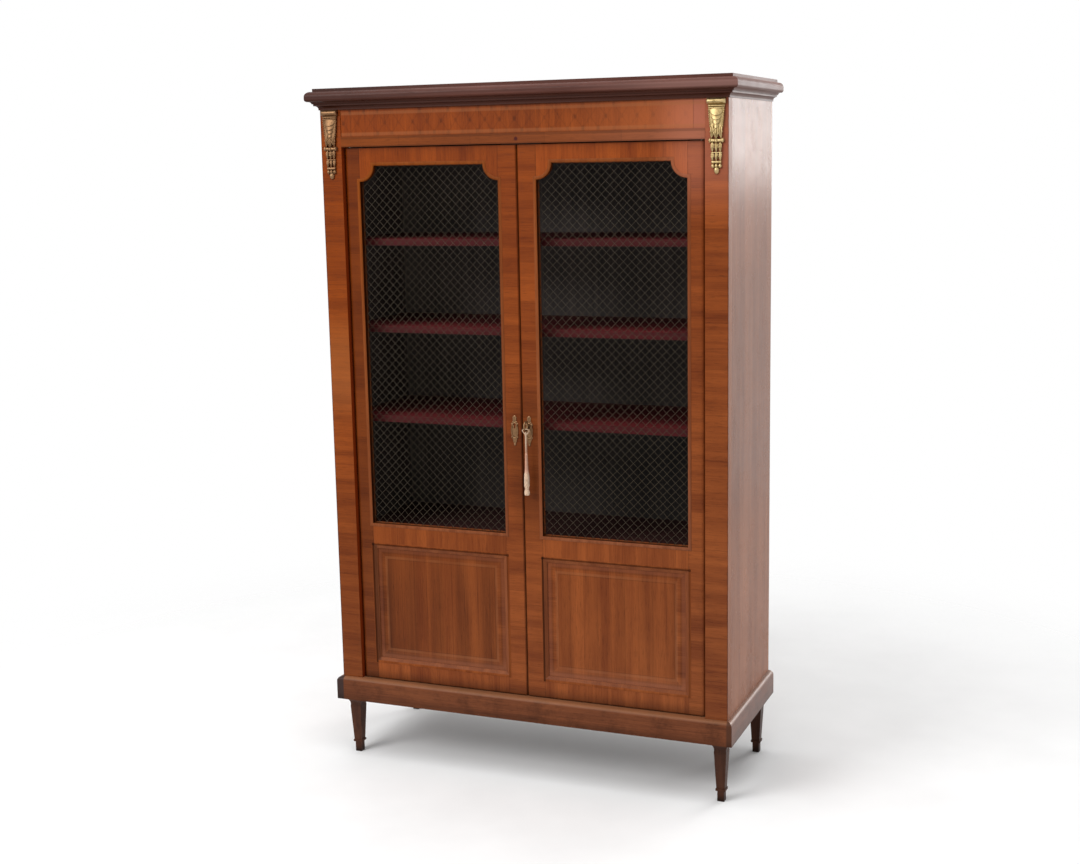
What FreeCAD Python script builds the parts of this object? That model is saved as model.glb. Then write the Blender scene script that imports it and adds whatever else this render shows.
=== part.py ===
import FreeCAD, Part
import os
import math

os.makedirs("parts", exist_ok=True)
V = FreeCAD.Vector

# Overall size of the carcass, in millimetres; the cornice and plinth stand proud of it
HEIGHT = 1900.0
BODY_WIDTH = 1146.0
BODY_DEPTH = 442.0

# Clearances
JOINT_CLEARANCE = 0.1
RUNNING_CLEARANCE = 0.05
SLIDING_CLEARANCE = 0.3
HEEL_GAP = 1.0
MEETING_GAP = 1.0
DOOR_END_GAP = 3.0
DOOR_BACK_GAP = 1.0
SHELF_END_GAP = 1.0
SHELF_BACK_GAP = 2.0

# Feet: square in section, with a flared cap, a tapered shank, a collar and a tip
FOOT_HEIGHT = 171.0
FOOT_CAP = 51.0
FOOT_CAP_EDGE = 7.0
FOOT_FLARE_HEIGHT = 24.0
FOOT_TOP = 34.0
FOOT_BOTTOM = 23.0
FOOT_COLLAR = 27.0
FOOT_COLLAR_HEIGHT = 6.0
FOOT_TIP = 19.0
FOOT_TIP_HEIGHT = 30.0
FOOT_SETBACK = 8.5
FOOT_DOWEL_RADIUS = 8.0
FOOT_DOWEL_LENGTH = 36.0

# Plinth
PLINTH_HEIGHT = 66.0
PLINTH_PROJECTION = 15.0
PLINTH_THICKNESS = 60.0
PLINTH_BACK_THICKNESS = 24.0
PLINTH_EDGE_RADIUS = 13.0

# Cornice profile, from its foot up: heights and projections of its members
CORNICE_FOOT_HEIGHT = 4.0
CORNICE_COVE_HEIGHT = 7.0
CORNICE_FILLET_HEIGHT = 5.0
CORNICE_CYMA_HEIGHT = 12.0
CORNICE_NOSE_HEIGHT = 8.0
CORNICE_OVOLO_HEIGHT = 13.0
CORNICE_TOP_HEIGHT = 8.0
CORNICE_FOOT_PROJECTION = 3.0
CORNICE_FILLET_PROJECTION = 13.0
CORNICE_CYMA_PROJECTION = 16.0
CORNICE_NOSE_PROJECTION = 31.0
CORNICE_OVOLO_PROJECTION = 17.0
CORNICE_TOP_PROJECTION = 14.0

# Boards of the carcass
TOP_BOARD_THICKNESS = 20.0
SIDE_THICKNESS = 22.0
BOTTOM_THICKNESS = 22.0
BACK_THICKNESS = 12.0
BACK_REBATE = 11.0
BACK_BOARDS = 3
HOUSING_DEPTH = 6.0
CORNER_STILE_WIDTH = 61.0
CORNER_STILE_THICKNESS = 32.0
TONGUE_THICKNESS = 8.0
TONGUE_DEPTH = 8.0

# Frieze: a rail between the corner stiles, with a proud fascia along its foot
FRIEZE_HEIGHT = 100.0
FRIEZE_THICKNESS = 32.0
FRIEZE_SETBACK = 2.0
FASCIA_HEIGHT = 27.0
FASCIA_PROJECTION = 3.0
FRIEZE_TENON_LENGTH = 20.0
FRIEZE_TENON_THICKNESS = 8.0
FRIEZE_TENON_SHOULDER = 18.0

# Stops behind the top edge of the doors, parted where the upper bolt passes
STOP_DEPTH = 10.0
STOP_DROP = 15.0
STOP_RISE = 17.0
STOP_MARGIN = 60.0

# Shelves: height of each underside, from the highest to the lowest
SHELF_UNDERSIDES = {"upper": 1474.0, "middle": 1233.0, "lower": 980.0, "base": 646.0}
SHELF_THICKNESS = 18.0
SHELF_SETBACK = 60.0
PEG_RADIUS = 3.5
PEG_REACH = 14.0
PEG_SINK = 10.0
PEG_INSET = 45.0

# Doors
DOOR_RECESS = 10.0
DOOR_THICKNESS = 26.0
HINGE_STILE_WIDTH = 47.5
MEETING_STILE_WIDTH = 54.0
MEETING_CHAMFER = 4.0
TOP_RAIL_HEIGHT = 48.0
MIDDLE_RAIL_HEIGHT = 64.0
BOTTOM_RAIL_HEIGHT = 52.0
PANEL_OPENING_HEIGHT = 340.0
CORNER_RADIUS = 43.0
TENON_LENGTH = 26.0
TENON_THICKNESS = 8.0
TENON_SHOULDER = 10.0

# Lower panel of each door and the moulding round it
PANEL_SINK = 6.0
PANEL_THICKNESS = 10.0
PANEL_GROOVE = 7.0
MOULDING_WIDTH = 9.0
MOULDING_LIP = 2.0

# Wire grille of each door, in a rebate, held by beads from behind
MESH_SETBACK = 12.0
MESH_THICKNESS = 1.6
MESH_REBATE = 8.0
MESH_COLUMNS = 8
MESH_WIRE = 3.0
BEAD_DEPTH = 8.0
BEAD_OVERHANG = 2.0

# Pivot plates of the doors and their sockets
PIVOT_PIN_RADIUS = 4.0
PIVOT_PIN_ENGAGEMENT = 9.0
PIVOT_PLATE_LENGTH = 36.0
PIVOT_PLATE_WIDTH = 14.0
PIVOT_PLATE_THICKNESS = 3.0
PIVOT_PLATE_NOSE = 7.0
SOCKET_LENGTH = 24.0
SOCKET_WIDTH = 16.0
SOCKET_DEPTH = 12.0
SOCKET_FLOOR_GAP = 0.3

# Lock on the back of the right door, with a pin for the hollow key
KEY_OFFSET = 21.0
KEY_HEIGHT = 1000.0
LOCK_WIDTH = 42.0
LOCK_HEIGHT = 90.0
LOCK_DEPTH = 14.0
LOCK_WALL = 1.5
LOCK_EDGE_GAP = 2.0
LOCK_PIN_RADIUS = 1.4
LOCK_PIN_LENGTH = 28.0
BOLT_HEIGHT = 14.0
BOLT_THICKNESS = 8.0
BOLT_LENGTH = 33.0
BOLT_DROP = 14.0
STRIKE_LENGTH = 17.0
STRIKE_WALL = 2.0
STRIKE_LUG = 9.0

# Key
SHANK_RADIUS = 3.0
KEYHOLE_CLEARANCE = 0.5
KEY_BIT_REACH = 11.0
KEY_BIT_THICKNESS = 3.0
KEY_BIT_WIDTH = 8.0
KEY_TIP_GAP = 2.0
BOW_STAND = 24.0
BOW_RADIUS = 12.0
BOW_WIRE_RADIUS = 2.4

# Keyhole plates
PLATE_THICKNESS = 1.6
PLATE_HALF_WIDTH = 11.0
PLATE_HALF_HEIGHT = 42.0
PLATE_EYE_DROP = 17.0
PLATE_EYE_HALF_HEIGHT = 24.0
PLATE_FINIAL_RADIUS = 5.0
PLATE_NECK = 6.0

# Cord and tassel that hang from the bow of the key
CORD_RADIUS = 3.0
LOOP_RADIUS = 1.2
LOOP_CLEARANCE = 0.3
CORD_LENGTH = 107.0
TASSEL_RADIUS = 7.5
TASSEL_LENGTH = 65.0
TASSEL_HEAD_LENGTH = 38.0
TASSEL_TIE_LENGTH = 8.0
TASSEL_TIE_RADIUS = 6.0
TASSEL_EDGE = 2.5

# Sliding bolts on the back of the left door
ROD_SIZE = 8.0
ROD_STAND = 4.0
ROD_LENGTH = 300.0
ROD_THROW = 14.0
ROD_END_GAP = 3.0
ROD_KNOB_RADIUS = 4.5
ROD_KNOB_LENGTH = 8.0
GUIDE_WIDTH = 20.0
GUIDE_HEIGHT = 14.0
GUIDE_WALL = 3.0
GUIDE_INSET = 30.0
KEEPER_LUG = 6.0
KEEPER_FRONT = 2.8
KEEPER_RISE = 12.0

# Gilt bronze drops on the corner stiles: half width at each level, down from the cornice
DROP_OUTLINE = [(0, 25), (15, 25), (19, 22), (40, 21.5), (66, 19.5), (78, 16), (94, 17), (98, 20), (110, 20),
                (115, 15.5), (150, 14.5), (158, 13), (163, 14.5), (170, 14), (177, 8), (187, 4)]
DROP_DEPTH = 8.0
DROP_CAP_HEIGHT = 15.0
DROP_CAP_DEPTH = 15.0
DROP_BELLY_TOP = 15.0
DROP_BELLY_BOTTOM = 70.0
DROP_BELLY_HALF_WIDTH = 15.0
DROP_BELLY_DEPTH = 13.0
DROP_PIN_RADIUS = 1.0
DROP_PIN_LENGTH = 18.0
DROP_PIN_PROUD = 1.0
DROP_UPPER_PIN_LEVEL = 84.0
DROP_MIDDLE_PIN_LEVEL = 122.0
DROP_LOWER_PIN_LEVEL = 176.0

# Screws of the back boards
SCREW_HEAD_RADIUS = 4.0
SCREW_HEAD_HEIGHT = 2.0
SCREW_RADIUS = 1.75
SCREW_LENGTH = 24.0
SCREWS_PER_BOARD = 2
SCREW_END_INSET = 60.0

# Places worked out from the sizes above
HALF = BODY_WIDTH / 2
FRONT = (CORNICE_NOSE_PROJECTION - BODY_DEPTH) / 2
BACK = FRONT + BODY_DEPTH
PLINTH_TOP = FOOT_HEIGHT + PLINTH_HEIGHT
CORNICE_HEIGHT = (CORNICE_FOOT_HEIGHT + CORNICE_COVE_HEIGHT + CORNICE_FILLET_HEIGHT + CORNICE_CYMA_HEIGHT
                  + CORNICE_NOSE_HEIGHT + CORNICE_OVOLO_HEIGHT + CORNICE_TOP_HEIGHT)
CORNICE_BOTTOM = HEIGHT - CORNICE_HEIGHT
BODY_TOP = HEIGHT - TOP_BOARD_THICKNESS
FRIEZE_BOTTOM = CORNICE_BOTTOM - FRIEZE_HEIGHT
STILE_EDGE = HALF - CORNER_STILE_WIDTH
STILE_BACK = FRONT + CORNER_STILE_THICKNESS
SIDE_INNER = HALF - SIDE_THICKNESS
BACK_FACE = BACK - BACK_THICKNESS
FRIEZE_FRONT = FRONT + FRIEZE_SETBACK
FRIEZE_BACK = FRIEZE_FRONT + FRIEZE_THICKNESS

DOOR_FRONT = FRONT + DOOR_RECESS
DOOR_BACK = DOOR_FRONT + DOOR_THICKNESS
DOOR_MIDDLE = DOOR_FRONT + DOOR_THICKNESS / 2
HEEL_RADIUS = DOOR_THICKNESS / 2
DOOR_EDGE = STILE_EDGE - HEEL_GAP
HINGE_X = DOOR_EDGE - HEEL_RADIUS
MEETING_X = MEETING_GAP / 2
DOOR_BOTTOM = PLINTH_TOP + DOOR_END_GAP
DOOR_TOP = FRIEZE_BOTTOM - DOOR_END_GAP
OPENING_LEFT = MEETING_X + MEETING_STILE_WIDTH
OPENING_RIGHT = DOOR_EDGE - HINGE_STILE_WIDTH
PANEL_BOTTOM = DOOR_BOTTOM + BOTTOM_RAIL_HEIGHT
PANEL_TOP = PANEL_BOTTOM + PANEL_OPENING_HEIGHT
MESH_BOTTOM = PANEL_TOP + MIDDLE_RAIL_HEIGHT
MESH_TOP = DOOR_TOP - TOP_RAIL_HEIGHT
MESH_FACE = DOOR_FRONT + MESH_SETBACK
PANEL_FACE = DOOR_FRONT + PANEL_SINK
FLOOR_TOP = PLINTH_TOP + BOTTOM_THICKNESS


def block(x, y, z):
    """Box between two limits on each axis."""
    return Part.makeBox(x[1] - x[0], y[1] - y[0], z[1] - z[0], V(x[0], y[0], z[0]))


def around(centre, width):
    """Limits of a width about its centre."""
    return (centre - width / 2, centre + width / 2)


def face(outline, place):
    """Closed face through points; a pair of points is the middle and the end of an arc."""
    edges = []
    start = outline[0]
    for item in outline[1:] + [outline[0]]:
        if isinstance(item[0], tuple):
            edges.append(Part.Arc(place(*start), place(*item[0]), place(*item[1])).toShape())
            start = item[1]
        else:
            edges.append(Part.LineSegment(place(*start), place(*item)).toShape())
            start = item
    return Part.Face(Part.Wire(edges))


def plan(outline, z):
    """Outline in plan, raised between two heights."""
    return face(outline, lambda x, y: V(x, y, z[0])).extrude(V(0, 0, z[1] - z[0]))


def elevation(outline, y):
    """Outline seen from the front, run between two depths."""
    return face(outline, lambda x, z: V(x, y[0], z)).extrude(V(0, y[1] - y[0], 0))


def mirrored(shape):
    """The same shape on the other side of the middle plane."""
    return shape.mirror(V(0, 0, 0), V(1, 0, 0))


def save(name, *solids):
    """One file per piece, or per group of like pieces."""
    shape = solids[0] if len(solids) == 1 else Part.makeCompound(list(solids))
    shape.exportStep("parts/" + name + ".step")


def save_pair(name, *solids):
    """The right piece and its mirror image."""
    save("right_" + name, *solids)
    save("left_" + name, *[mirrored(solid) for solid in solids])


def grown(limits, clearance):
    """Limits moved out at both ends."""
    return (limits[0] - clearance, limits[1] + clearance)


def bow_out(a, b):
    """Middle of a quarter round from a to b that swells outwards, away from the wall."""
    return (a[0] + (b[0] - a[0]) * (1 - math.sqrt(0.5)), a[1] + (b[1] - a[1]) * math.sqrt(0.5))


def bow_in(a, b):
    """Middle of a quarter hollow or round that leaves a level."""
    return (a[0] + (b[0] - a[0]) * math.sqrt(0.5), a[1] + (b[1] - a[1]) * (1 - math.sqrt(0.5)))


def cornice_profile():
    """Half section of the cornice: projection and height above its foot."""
    foot = CORNICE_FOOT_HEIGHT
    cove = foot + CORNICE_COVE_HEIGHT
    fillet = cove + CORNICE_FILLET_HEIGHT
    cyma = fillet + CORNICE_CYMA_HEIGHT
    nose = cyma + CORNICE_NOSE_HEIGHT
    ovolo = nose + CORNICE_OVOLO_HEIGHT
    cove_start = (CORNICE_FOOT_PROJECTION, foot)
    cove_end = (CORNICE_FILLET_PROJECTION, cove)
    cyma_start = (CORNICE_CYMA_PROJECTION, fillet)
    cyma_end = (CORNICE_NOSE_PROJECTION, cyma)
    cyma_middle = ((cyma_start[0] + cyma_end[0]) / 2, (fillet + cyma) / 2)
    ovolo_start = (CORNICE_NOSE_PROJECTION, nose)
    ovolo_end = (CORNICE_OVOLO_PROJECTION, ovolo)
    return [
        (0.0, 0.0),
        (CORNICE_FOOT_PROJECTION, 0.0),
        cove_start,
        (bow_out(cove_start, cove_end), cove_end),
        (CORNICE_FILLET_PROJECTION, fillet),
        cyma_start,
        (bow_out(cyma_start, cyma_middle), cyma_middle),
        (bow_in(cyma_middle, cyma_end), cyma_end),
        ovolo_start,
        (bow_out(ovolo_start, ovolo_end), ovolo_end),
        (CORNICE_TOP_PROJECTION, ovolo),
        (CORNICE_TOP_PROJECTION, CORNICE_HEIGHT),
        (0.0, CORNICE_HEIGHT),
    ]


def plinth_profile():
    """Section of the plinth: projection and height, with the rounded top edge."""
    inner = PLINTH_PROJECTION - PLINTH_THICKNESS
    round_start = (PLINTH_PROJECTION, PLINTH_HEIGHT - PLINTH_EDGE_RADIUS)
    round_end = (PLINTH_PROJECTION - PLINTH_EDGE_RADIUS, PLINTH_HEIGHT)
    return [(inner, 0.0), (PLINTH_PROJECTION, 0.0), round_start,
            (bow_out(round_start, round_end), round_end), (inner, PLINTH_HEIGHT)]


def mitred_run(profile, bottom, reach, inner):
    """Front length and right length of a moulding that turns the front corner of the body."""
    wide = HALF + reach
    levels = [item[-1][1] if isinstance(item[0], tuple) else item[1] for item in profile]
    heights = (bottom, bottom + max(levels))
    front = face(profile, lambda p, h: V(-wide, FRONT - p, bottom + h)).extrude(V(2 * wide, 0, 0))
    right = face(profile, lambda p, h: V(HALF + p, FRONT - reach, bottom + h))
    right = right.extrude(V(0, BACK - FRONT + reach, 0))
    corner = HALF + inner
    turn = FRONT - inner
    front_plan = [(-wide, FRONT - reach), (wide, FRONT - reach), (corner, turn), (-corner, turn)]
    right_plan = [(wide, FRONT - reach), (wide, BACK), (corner, BACK), (corner, turn)]
    return front.common(plan(front_plan, heights)), right.common(plan(right_plan, heights))


def foot(x, y):
    """Square foot: the same outline cut from the front and from the side, with a dowel on top."""
    half = [size / 2 for size in (FOOT_TIP, FOOT_COLLAR, FOOT_BOTTOM, FOOT_TOP, FOOT_CAP)]
    tip, collar, low, high, cap = half
    collar_top = FOOT_TIP_HEIGHT + FOOT_COLLAR_HEIGHT
    flare_end = (cap, FOOT_HEIGHT - FOOT_CAP_EDGE)
    flare_start = (high, flare_end[1] - FOOT_FLARE_HEIGHT)
    flare_middle = bow_out(flare_start, flare_end)
    outline = [
        (-tip, 0.0), (tip, 0.0), (tip, FOOT_TIP_HEIGHT), (collar, FOOT_TIP_HEIGHT), (collar, collar_top),
        (low, collar_top), flare_start, (flare_middle, flare_end), (cap, FOOT_HEIGHT), (-cap, FOOT_HEIGHT),
        (-cap, flare_end[1]), ((-flare_middle[0], flare_middle[1]), (-high, flare_start[1])),
        (-low, collar_top), (-collar, collar_top), (-collar, FOOT_TIP_HEIGHT), (-tip, FOOT_TIP_HEIGHT),
    ]
    across = face(outline, lambda w, z: V(x + w, y - cap, z)).extrude(V(0, 2 * cap, 0))
    along = face(outline, lambda w, z: V(x - cap, y + w, z)).extrude(V(2 * cap, 0, 0))
    dowel = Part.makeCylinder(FOOT_DOWEL_RADIUS, FOOT_DOWEL_LENGTH, V(x, y, FOOT_HEIGHT))
    return across.common(along).fuse(dowel).removeSplitter()


def dowel_hole(x, y):
    """Hole in the plinth for the dowel of a foot."""
    radius = FOOT_DOWEL_RADIUS + JOINT_CLEARANCE
    return Part.makeCylinder(radius, FOOT_DOWEL_LENGTH + JOINT_CLEARANCE, V(x, y, FOOT_HEIGHT))


def feet_and_plinth():
    """Four feet under a plinth of four lengths, with the lower pivot sockets let into it."""
    foot_x = HALF - FOOT_CAP / 2
    front_y = FRONT + FOOT_SETBACK + FOOT_CAP / 2
    back_y = BACK - FOOT_SETBACK - FOOT_CAP / 2
    save_pair("front_foot", foot(foot_x, front_y))
    save_pair("back_foot", foot(foot_x, back_y))
    inner = PLINTH_PROJECTION - PLINTH_THICKNESS
    front, right = mitred_run(plinth_profile(), FOOT_HEIGHT, PLINTH_PROJECTION, inner)
    for y in (front_y, back_y):
        right = right.cut(dowel_hole(foot_x, y))
        front = front.cut(dowel_hole(foot_x, y)).cut(dowel_hole(-foot_x, y))
    seat = socket_seat(PLINTH_TOP - SOCKET_DEPTH)
    save("plinth_front", front.cut(seat).cut(mirrored(seat)))
    save_pair("plinth", right)
    limit = HALF + inner
    depth = (BACK - PLINTH_BACK_THICKNESS, BACK)
    save("plinth_back", block((-limit, limit), depth, (FOOT_HEIGHT, PLINTH_TOP)))


def socket_seat(bottom):
    """Recess that a pivot socket fills."""
    heights = (bottom, bottom + SOCKET_DEPTH)
    return block(around(HINGE_X, SOCKET_LENGTH), around(DOOR_MIDDLE, SOCKET_WIDTH), heights)


def pivot_sockets():
    """Four bored blocks: two in the plinth and two in the frieze rail."""
    bore = PIVOT_PIN_RADIUS + RUNNING_CLEARANCE
    deep = PIVOT_PIN_ENGAGEMENT + SOCKET_FLOOR_GAP
    low = PLINTH_TOP - SOCKET_DEPTH
    lower_bore = Part.makeCylinder(bore, deep, V(HINGE_X, DOOR_MIDDLE, PLINTH_TOP - deep))
    upper_bore = Part.makeCylinder(bore, deep, V(HINGE_X, DOOR_MIDDLE, FRIEZE_BOTTOM))
    lower = socket_seat(low).cut(lower_bore)
    upper = socket_seat(FRIEZE_BOTTOM).cut(upper_bore)
    save("pivot_sockets", lower, upper, mirrored(lower), mirrored(upper))


def side_tongue():
    """Tongue along the front edge of a side."""
    middle = HALF - SIDE_THICKNESS / 2
    depth = (STILE_BACK - TONGUE_DEPTH, STILE_BACK)
    return block(around(middle, TONGUE_THICKNESS), depth, (PLINTH_TOP, BODY_TOP))


def bottom_board():
    """Floor of the carcass, housed in both sides."""
    reach = SIDE_INNER + HOUSING_DEPTH
    return block((-reach, reach), (DOOR_BACK + DOOR_BACK_GAP, BACK_FACE), (PLINTH_TOP, FLOOR_TOP))


def frieze_tenon():
    """Tenon at the right end of the frieze rail."""
    heights = (FRIEZE_BOTTOM + FRIEZE_TENON_SHOULDER, BODY_TOP - FRIEZE_TENON_SHOULDER)
    depth = around((FRIEZE_FRONT + FRIEZE_BACK) / 2, FRIEZE_TENON_THICKNESS)
    return block((STILE_EDGE, STILE_EDGE + FRIEZE_TENON_LENGTH), depth, heights)


def frieze_mortise():
    """Mortise for that tenon in the corner stile."""
    box = frieze_tenon().BoundBox
    return block((STILE_EDGE, box.XMax + JOINT_CLEARANCE), grown((box.YMin, box.YMax), JOINT_CLEARANCE),
                 grown((box.ZMin, box.ZMax), JOINT_CLEARANCE))


def carcass():
    """Corner stiles, sides, floor, top, back boards and frieze rail."""
    heights = (PLINTH_TOP, BODY_TOP)
    groove = block(grown(around(HALF - SIDE_THICKNESS / 2, TONGUE_THICKNESS), JOINT_CLEARANCE),
                   (STILE_BACK - TONGUE_DEPTH - JOINT_CLEARANCE, STILE_BACK), heights)
    stile = block((STILE_EDGE, HALF), (FRONT, STILE_BACK), heights)
    stile = stile.cut(groove).cut(frieze_mortise())
    for pin in drop_pins():
        stile = stile.cut(pin)
    save_pair("corner_stile", stile)

    side = block((SIDE_INNER, HALF), (STILE_BACK, BACK), heights).fuse(side_tongue()).removeSplitter()
    rebate = block((SIDE_INNER, SIDE_INNER + BACK_REBATE), (BACK_FACE, BACK), heights)
    side = side.cut(rebate).cut(bottom_board())
    for peg in shelf_pegs():
        side = side.cut(peg)
    save_pair("side", side)
    floor = bottom_board()
    for screw in back_screws():
        floor = floor.cut(screw)
    save("bottom_board", floor)
    save("top_board", block((-HALF, HALF), (FRONT, BACK), (BODY_TOP, HEIGHT)))

    rail = block((-STILE_EDGE, STILE_EDGE), (FRIEZE_FRONT, FRIEZE_BACK), (FRIEZE_BOTTOM, BODY_TOP))
    fascia = block((-STILE_EDGE, STILE_EDGE), (FRIEZE_FRONT - FASCIA_PROJECTION, FRIEZE_FRONT),
                   (FRIEZE_BOTTOM, FRIEZE_BOTTOM + FASCIA_HEIGHT))
    rail = rail.fuse([fascia, frieze_tenon(), mirrored(frieze_tenon())]).removeSplitter()
    seat = socket_seat(FRIEZE_BOTTOM)
    save("frieze_rail", rail.cut(seat).cut(mirrored(seat)))
    back_boards()
    front, right = mitred_run(cornice_profile(), CORNICE_BOTTOM, CORNICE_NOSE_PROJECTION, 0.0)
    save("cornice_front", front)
    save_pair("cornice", right)


def back_screws():
    """Screws through the foot of each back board into the edge of the floor."""
    reach = SIDE_INNER + BACK_REBATE
    width = 2 * reach / BACK_BOARDS
    spacing = (width - 2 * SCREW_END_INSET) / (SCREWS_PER_BOARD - 1)
    level = PLINTH_TOP + BOTTOM_THICKNESS / 2
    screws = []
    for board in range(BACK_BOARDS):
        for place in range(SCREWS_PER_BOARD):
            x = -reach + board * width + SCREW_END_INSET + place * spacing
            head = Part.makeCylinder(SCREW_HEAD_RADIUS, SCREW_HEAD_HEIGHT,
                                     V(x, BACK - SCREW_HEAD_HEIGHT, level), V(0, 1, 0))
            shank = Part.makeCylinder(SCREW_RADIUS, SCREW_LENGTH - SCREW_HEAD_HEIGHT,
                                      V(x, BACK - SCREW_LENGTH, level), V(0, 1, 0))
            screws.append(head.fuse(shank))
    return screws


def back_boards():
    """Upright back boards in the rebates of the sides."""
    reach = SIDE_INNER + BACK_REBATE
    width = 2 * reach / BACK_BOARDS
    boards = []
    for number in range(BACK_BOARDS):
        left = -reach + number * width
        board = block((left, left + width), (BACK_FACE, BACK), (PLINTH_TOP, BODY_TOP))
        for screw in back_screws():
            board = board.cut(screw)
        boards.append(board)
    save("back_boards", *boards)
    save("back_screws", *back_screws())


def head_stops():
    """Rebated strips behind the frieze rail, which the doors close against."""
    lip = DOOR_BACK + DOOR_BACK_GAP
    outline = [(FRIEZE_BACK, FRIEZE_BOTTOM), (lip, FRIEZE_BOTTOM), (lip, FRIEZE_BOTTOM - STOP_DROP),
               (lip + STOP_DEPTH, FRIEZE_BOTTOM - STOP_DROP), (lip + STOP_DEPTH, FRIEZE_BOTTOM + STOP_RISE),
               (FRIEZE_BACK, FRIEZE_BOTTOM + STOP_RISE)]
    strip = face(outline, lambda y, z: V(STOP_MARGIN, y, z)).extrude(V(OPENING_RIGHT - STOP_MARGIN, 0, 0))
    save("head_stops", strip, mirrored(strip))


def shelf_pegs():
    """Right-hand pegs under every shelf, each bored into the side."""
    front = FRONT + SHELF_SETBACK + PEG_INSET
    back = BACK_FACE - SHELF_BACK_GAP - PEG_INSET
    start = SIDE_INNER - PEG_REACH
    return [Part.makeCylinder(PEG_RADIUS, PEG_REACH + PEG_SINK, V(start, y, low - PEG_RADIUS), V(1, 0, 0))
            for low in SHELF_UNDERSIDES.values() for y in (front, back)]


def shelves():
    """Loose boards that lie on pegs."""
    reach = SIDE_INNER - SHELF_END_GAP
    for name, low in SHELF_UNDERSIDES.items():
        depth = (FRONT + SHELF_SETBACK, BACK_FACE - SHELF_BACK_GAP)
        save(name + "_shelf", block((-reach, reach), depth, (low, low + SHELF_THICKNESS)))
    pegs = shelf_pegs()
    save("shelf_pegs", *pegs, *[mirrored(peg) for peg in pegs])


def mesh_seat():
    """Rebate for the grille, cut from the back of the door frame."""
    return block(grown((OPENING_LEFT, OPENING_RIGHT), MESH_REBATE), (MESH_FACE, DOOR_BACK),
                 grown((MESH_BOTTOM, MESH_TOP), MESH_REBATE))


def panel_solid(clearance):
    """Flat panel with its edges in the grooves of the frame."""
    return block(grown((OPENING_LEFT, OPENING_RIGHT), PANEL_GROOVE + clearance),
                 (PANEL_FACE, PANEL_FACE + PANEL_THICKNESS),
                 grown((PANEL_BOTTOM, PANEL_TOP), PANEL_GROOVE + clearance))


def tenons(limits, clearance):
    """Pair of tenons at the ends of a rail, or the mortises for them."""
    heights = (limits[0] + TENON_SHOULDER - clearance, limits[1] - TENON_SHOULDER + clearance)
    depth = around(DOOR_BACK - MESH_REBATE, TENON_THICKNESS + 2 * clearance)
    long = TENON_LENGTH + clearance
    return [block((OPENING_LEFT - long, OPENING_LEFT), depth, heights),
            block((OPENING_RIGHT, OPENING_RIGHT + long), depth, heights)]


def rail_limits():
    """Heights of the three rails of a door."""
    return {"top_rail": (MESH_TOP, DOOR_TOP), "middle_rail": (PANEL_TOP, MESH_BOTTOM),
            "bottom_rail": (DOOR_BOTTOM, PANEL_BOTTOM)}


def keyhole(depth):
    """Round hole with a slot below it for the bit of the key."""
    hole = Part.makeCylinder(SHANK_RADIUS + KEYHOLE_CLEARANCE, depth[1] - depth[0],
                             V(KEY_OFFSET, depth[0], KEY_HEIGHT), V(0, 1, 0))
    slot = block(around(KEY_OFFSET, KEY_BIT_THICKNESS + 2 * KEYHOLE_CLEARANCE), depth,
                 (KEY_HEIGHT - KEY_BIT_REACH - KEYHOLE_CLEARANCE, KEY_HEIGHT))
    return hole.fuse(slot).removeSplitter()


def door_frame():
    """Stiles and rails of a door, with their mortises, grooves and rebates."""
    heights = (DOOR_BOTTOM, DOOR_TOP)
    hinge = plan([(OPENING_RIGHT, DOOR_FRONT), (HINGE_X, DOOR_FRONT),
                  ((DOOR_EDGE, DOOR_MIDDLE), (HINGE_X, DOOR_BACK)), (OPENING_RIGHT, DOOR_BACK)], heights)
    meeting = plan([(MEETING_X + MEETING_CHAMFER, DOOR_FRONT), (OPENING_LEFT, DOOR_FRONT),
                    (OPENING_LEFT, DOOR_BACK), (MEETING_X, DOOR_BACK),
                    (MEETING_X, DOOR_FRONT + MEETING_CHAMFER)], heights)
    for limits in rail_limits().values():
        left, right = tenons(limits, JOINT_CLEARANCE)
        meeting = meeting.cut(left)
        hinge = hinge.cut(right)
    hinge = hinge.cut(mesh_seat()).cut(panel_solid(JOINT_CLEARANCE))
    meeting = meeting.cut(mesh_seat()).cut(panel_solid(JOINT_CLEARANCE))
    for seat in pivot_seats():
        hinge = hinge.cut(seat)
    save_pair("hinge_stile", hinge)
    save("right_meeting_stile", meeting.cut(keyhole((DOOR_FRONT, DOOR_BACK))))
    save("left_meeting_stile", mirrored(meeting))

    for name, limits in rail_limits().items():
        rail = block((OPENING_LEFT, OPENING_RIGHT), (DOOR_FRONT, DOOR_BACK), limits)
        if name == "top_rail":
            rail = rail.fuse(re_entrant_corners())
        rail = rail.cut(mesh_seat()).cut(panel_solid(JOINT_CLEARANCE))
        ends = [tenon.cut(mesh_seat()).cut(panel_solid(JOINT_CLEARANCE)) for tenon in tenons(limits, 0.0)]
        save_pair(name, rail.fuse(ends).removeSplitter())


def re_entrant_corners():
    """Quarter discs that fill the upper corners of the mesh opening."""
    depth = MESH_FACE - DOOR_FRONT
    heights = (MESH_TOP - CORNER_RADIUS, MESH_TOP)
    window = block((OPENING_LEFT, OPENING_RIGHT), (DOOR_FRONT, MESH_FACE), heights)
    discs = [Part.makeCylinder(CORNER_RADIUS, depth, V(x, DOOR_FRONT, MESH_TOP), V(0, 1, 0))
             for x in (OPENING_LEFT, OPENING_RIGHT)]
    return [disc.common(window) for disc in discs]


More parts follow.
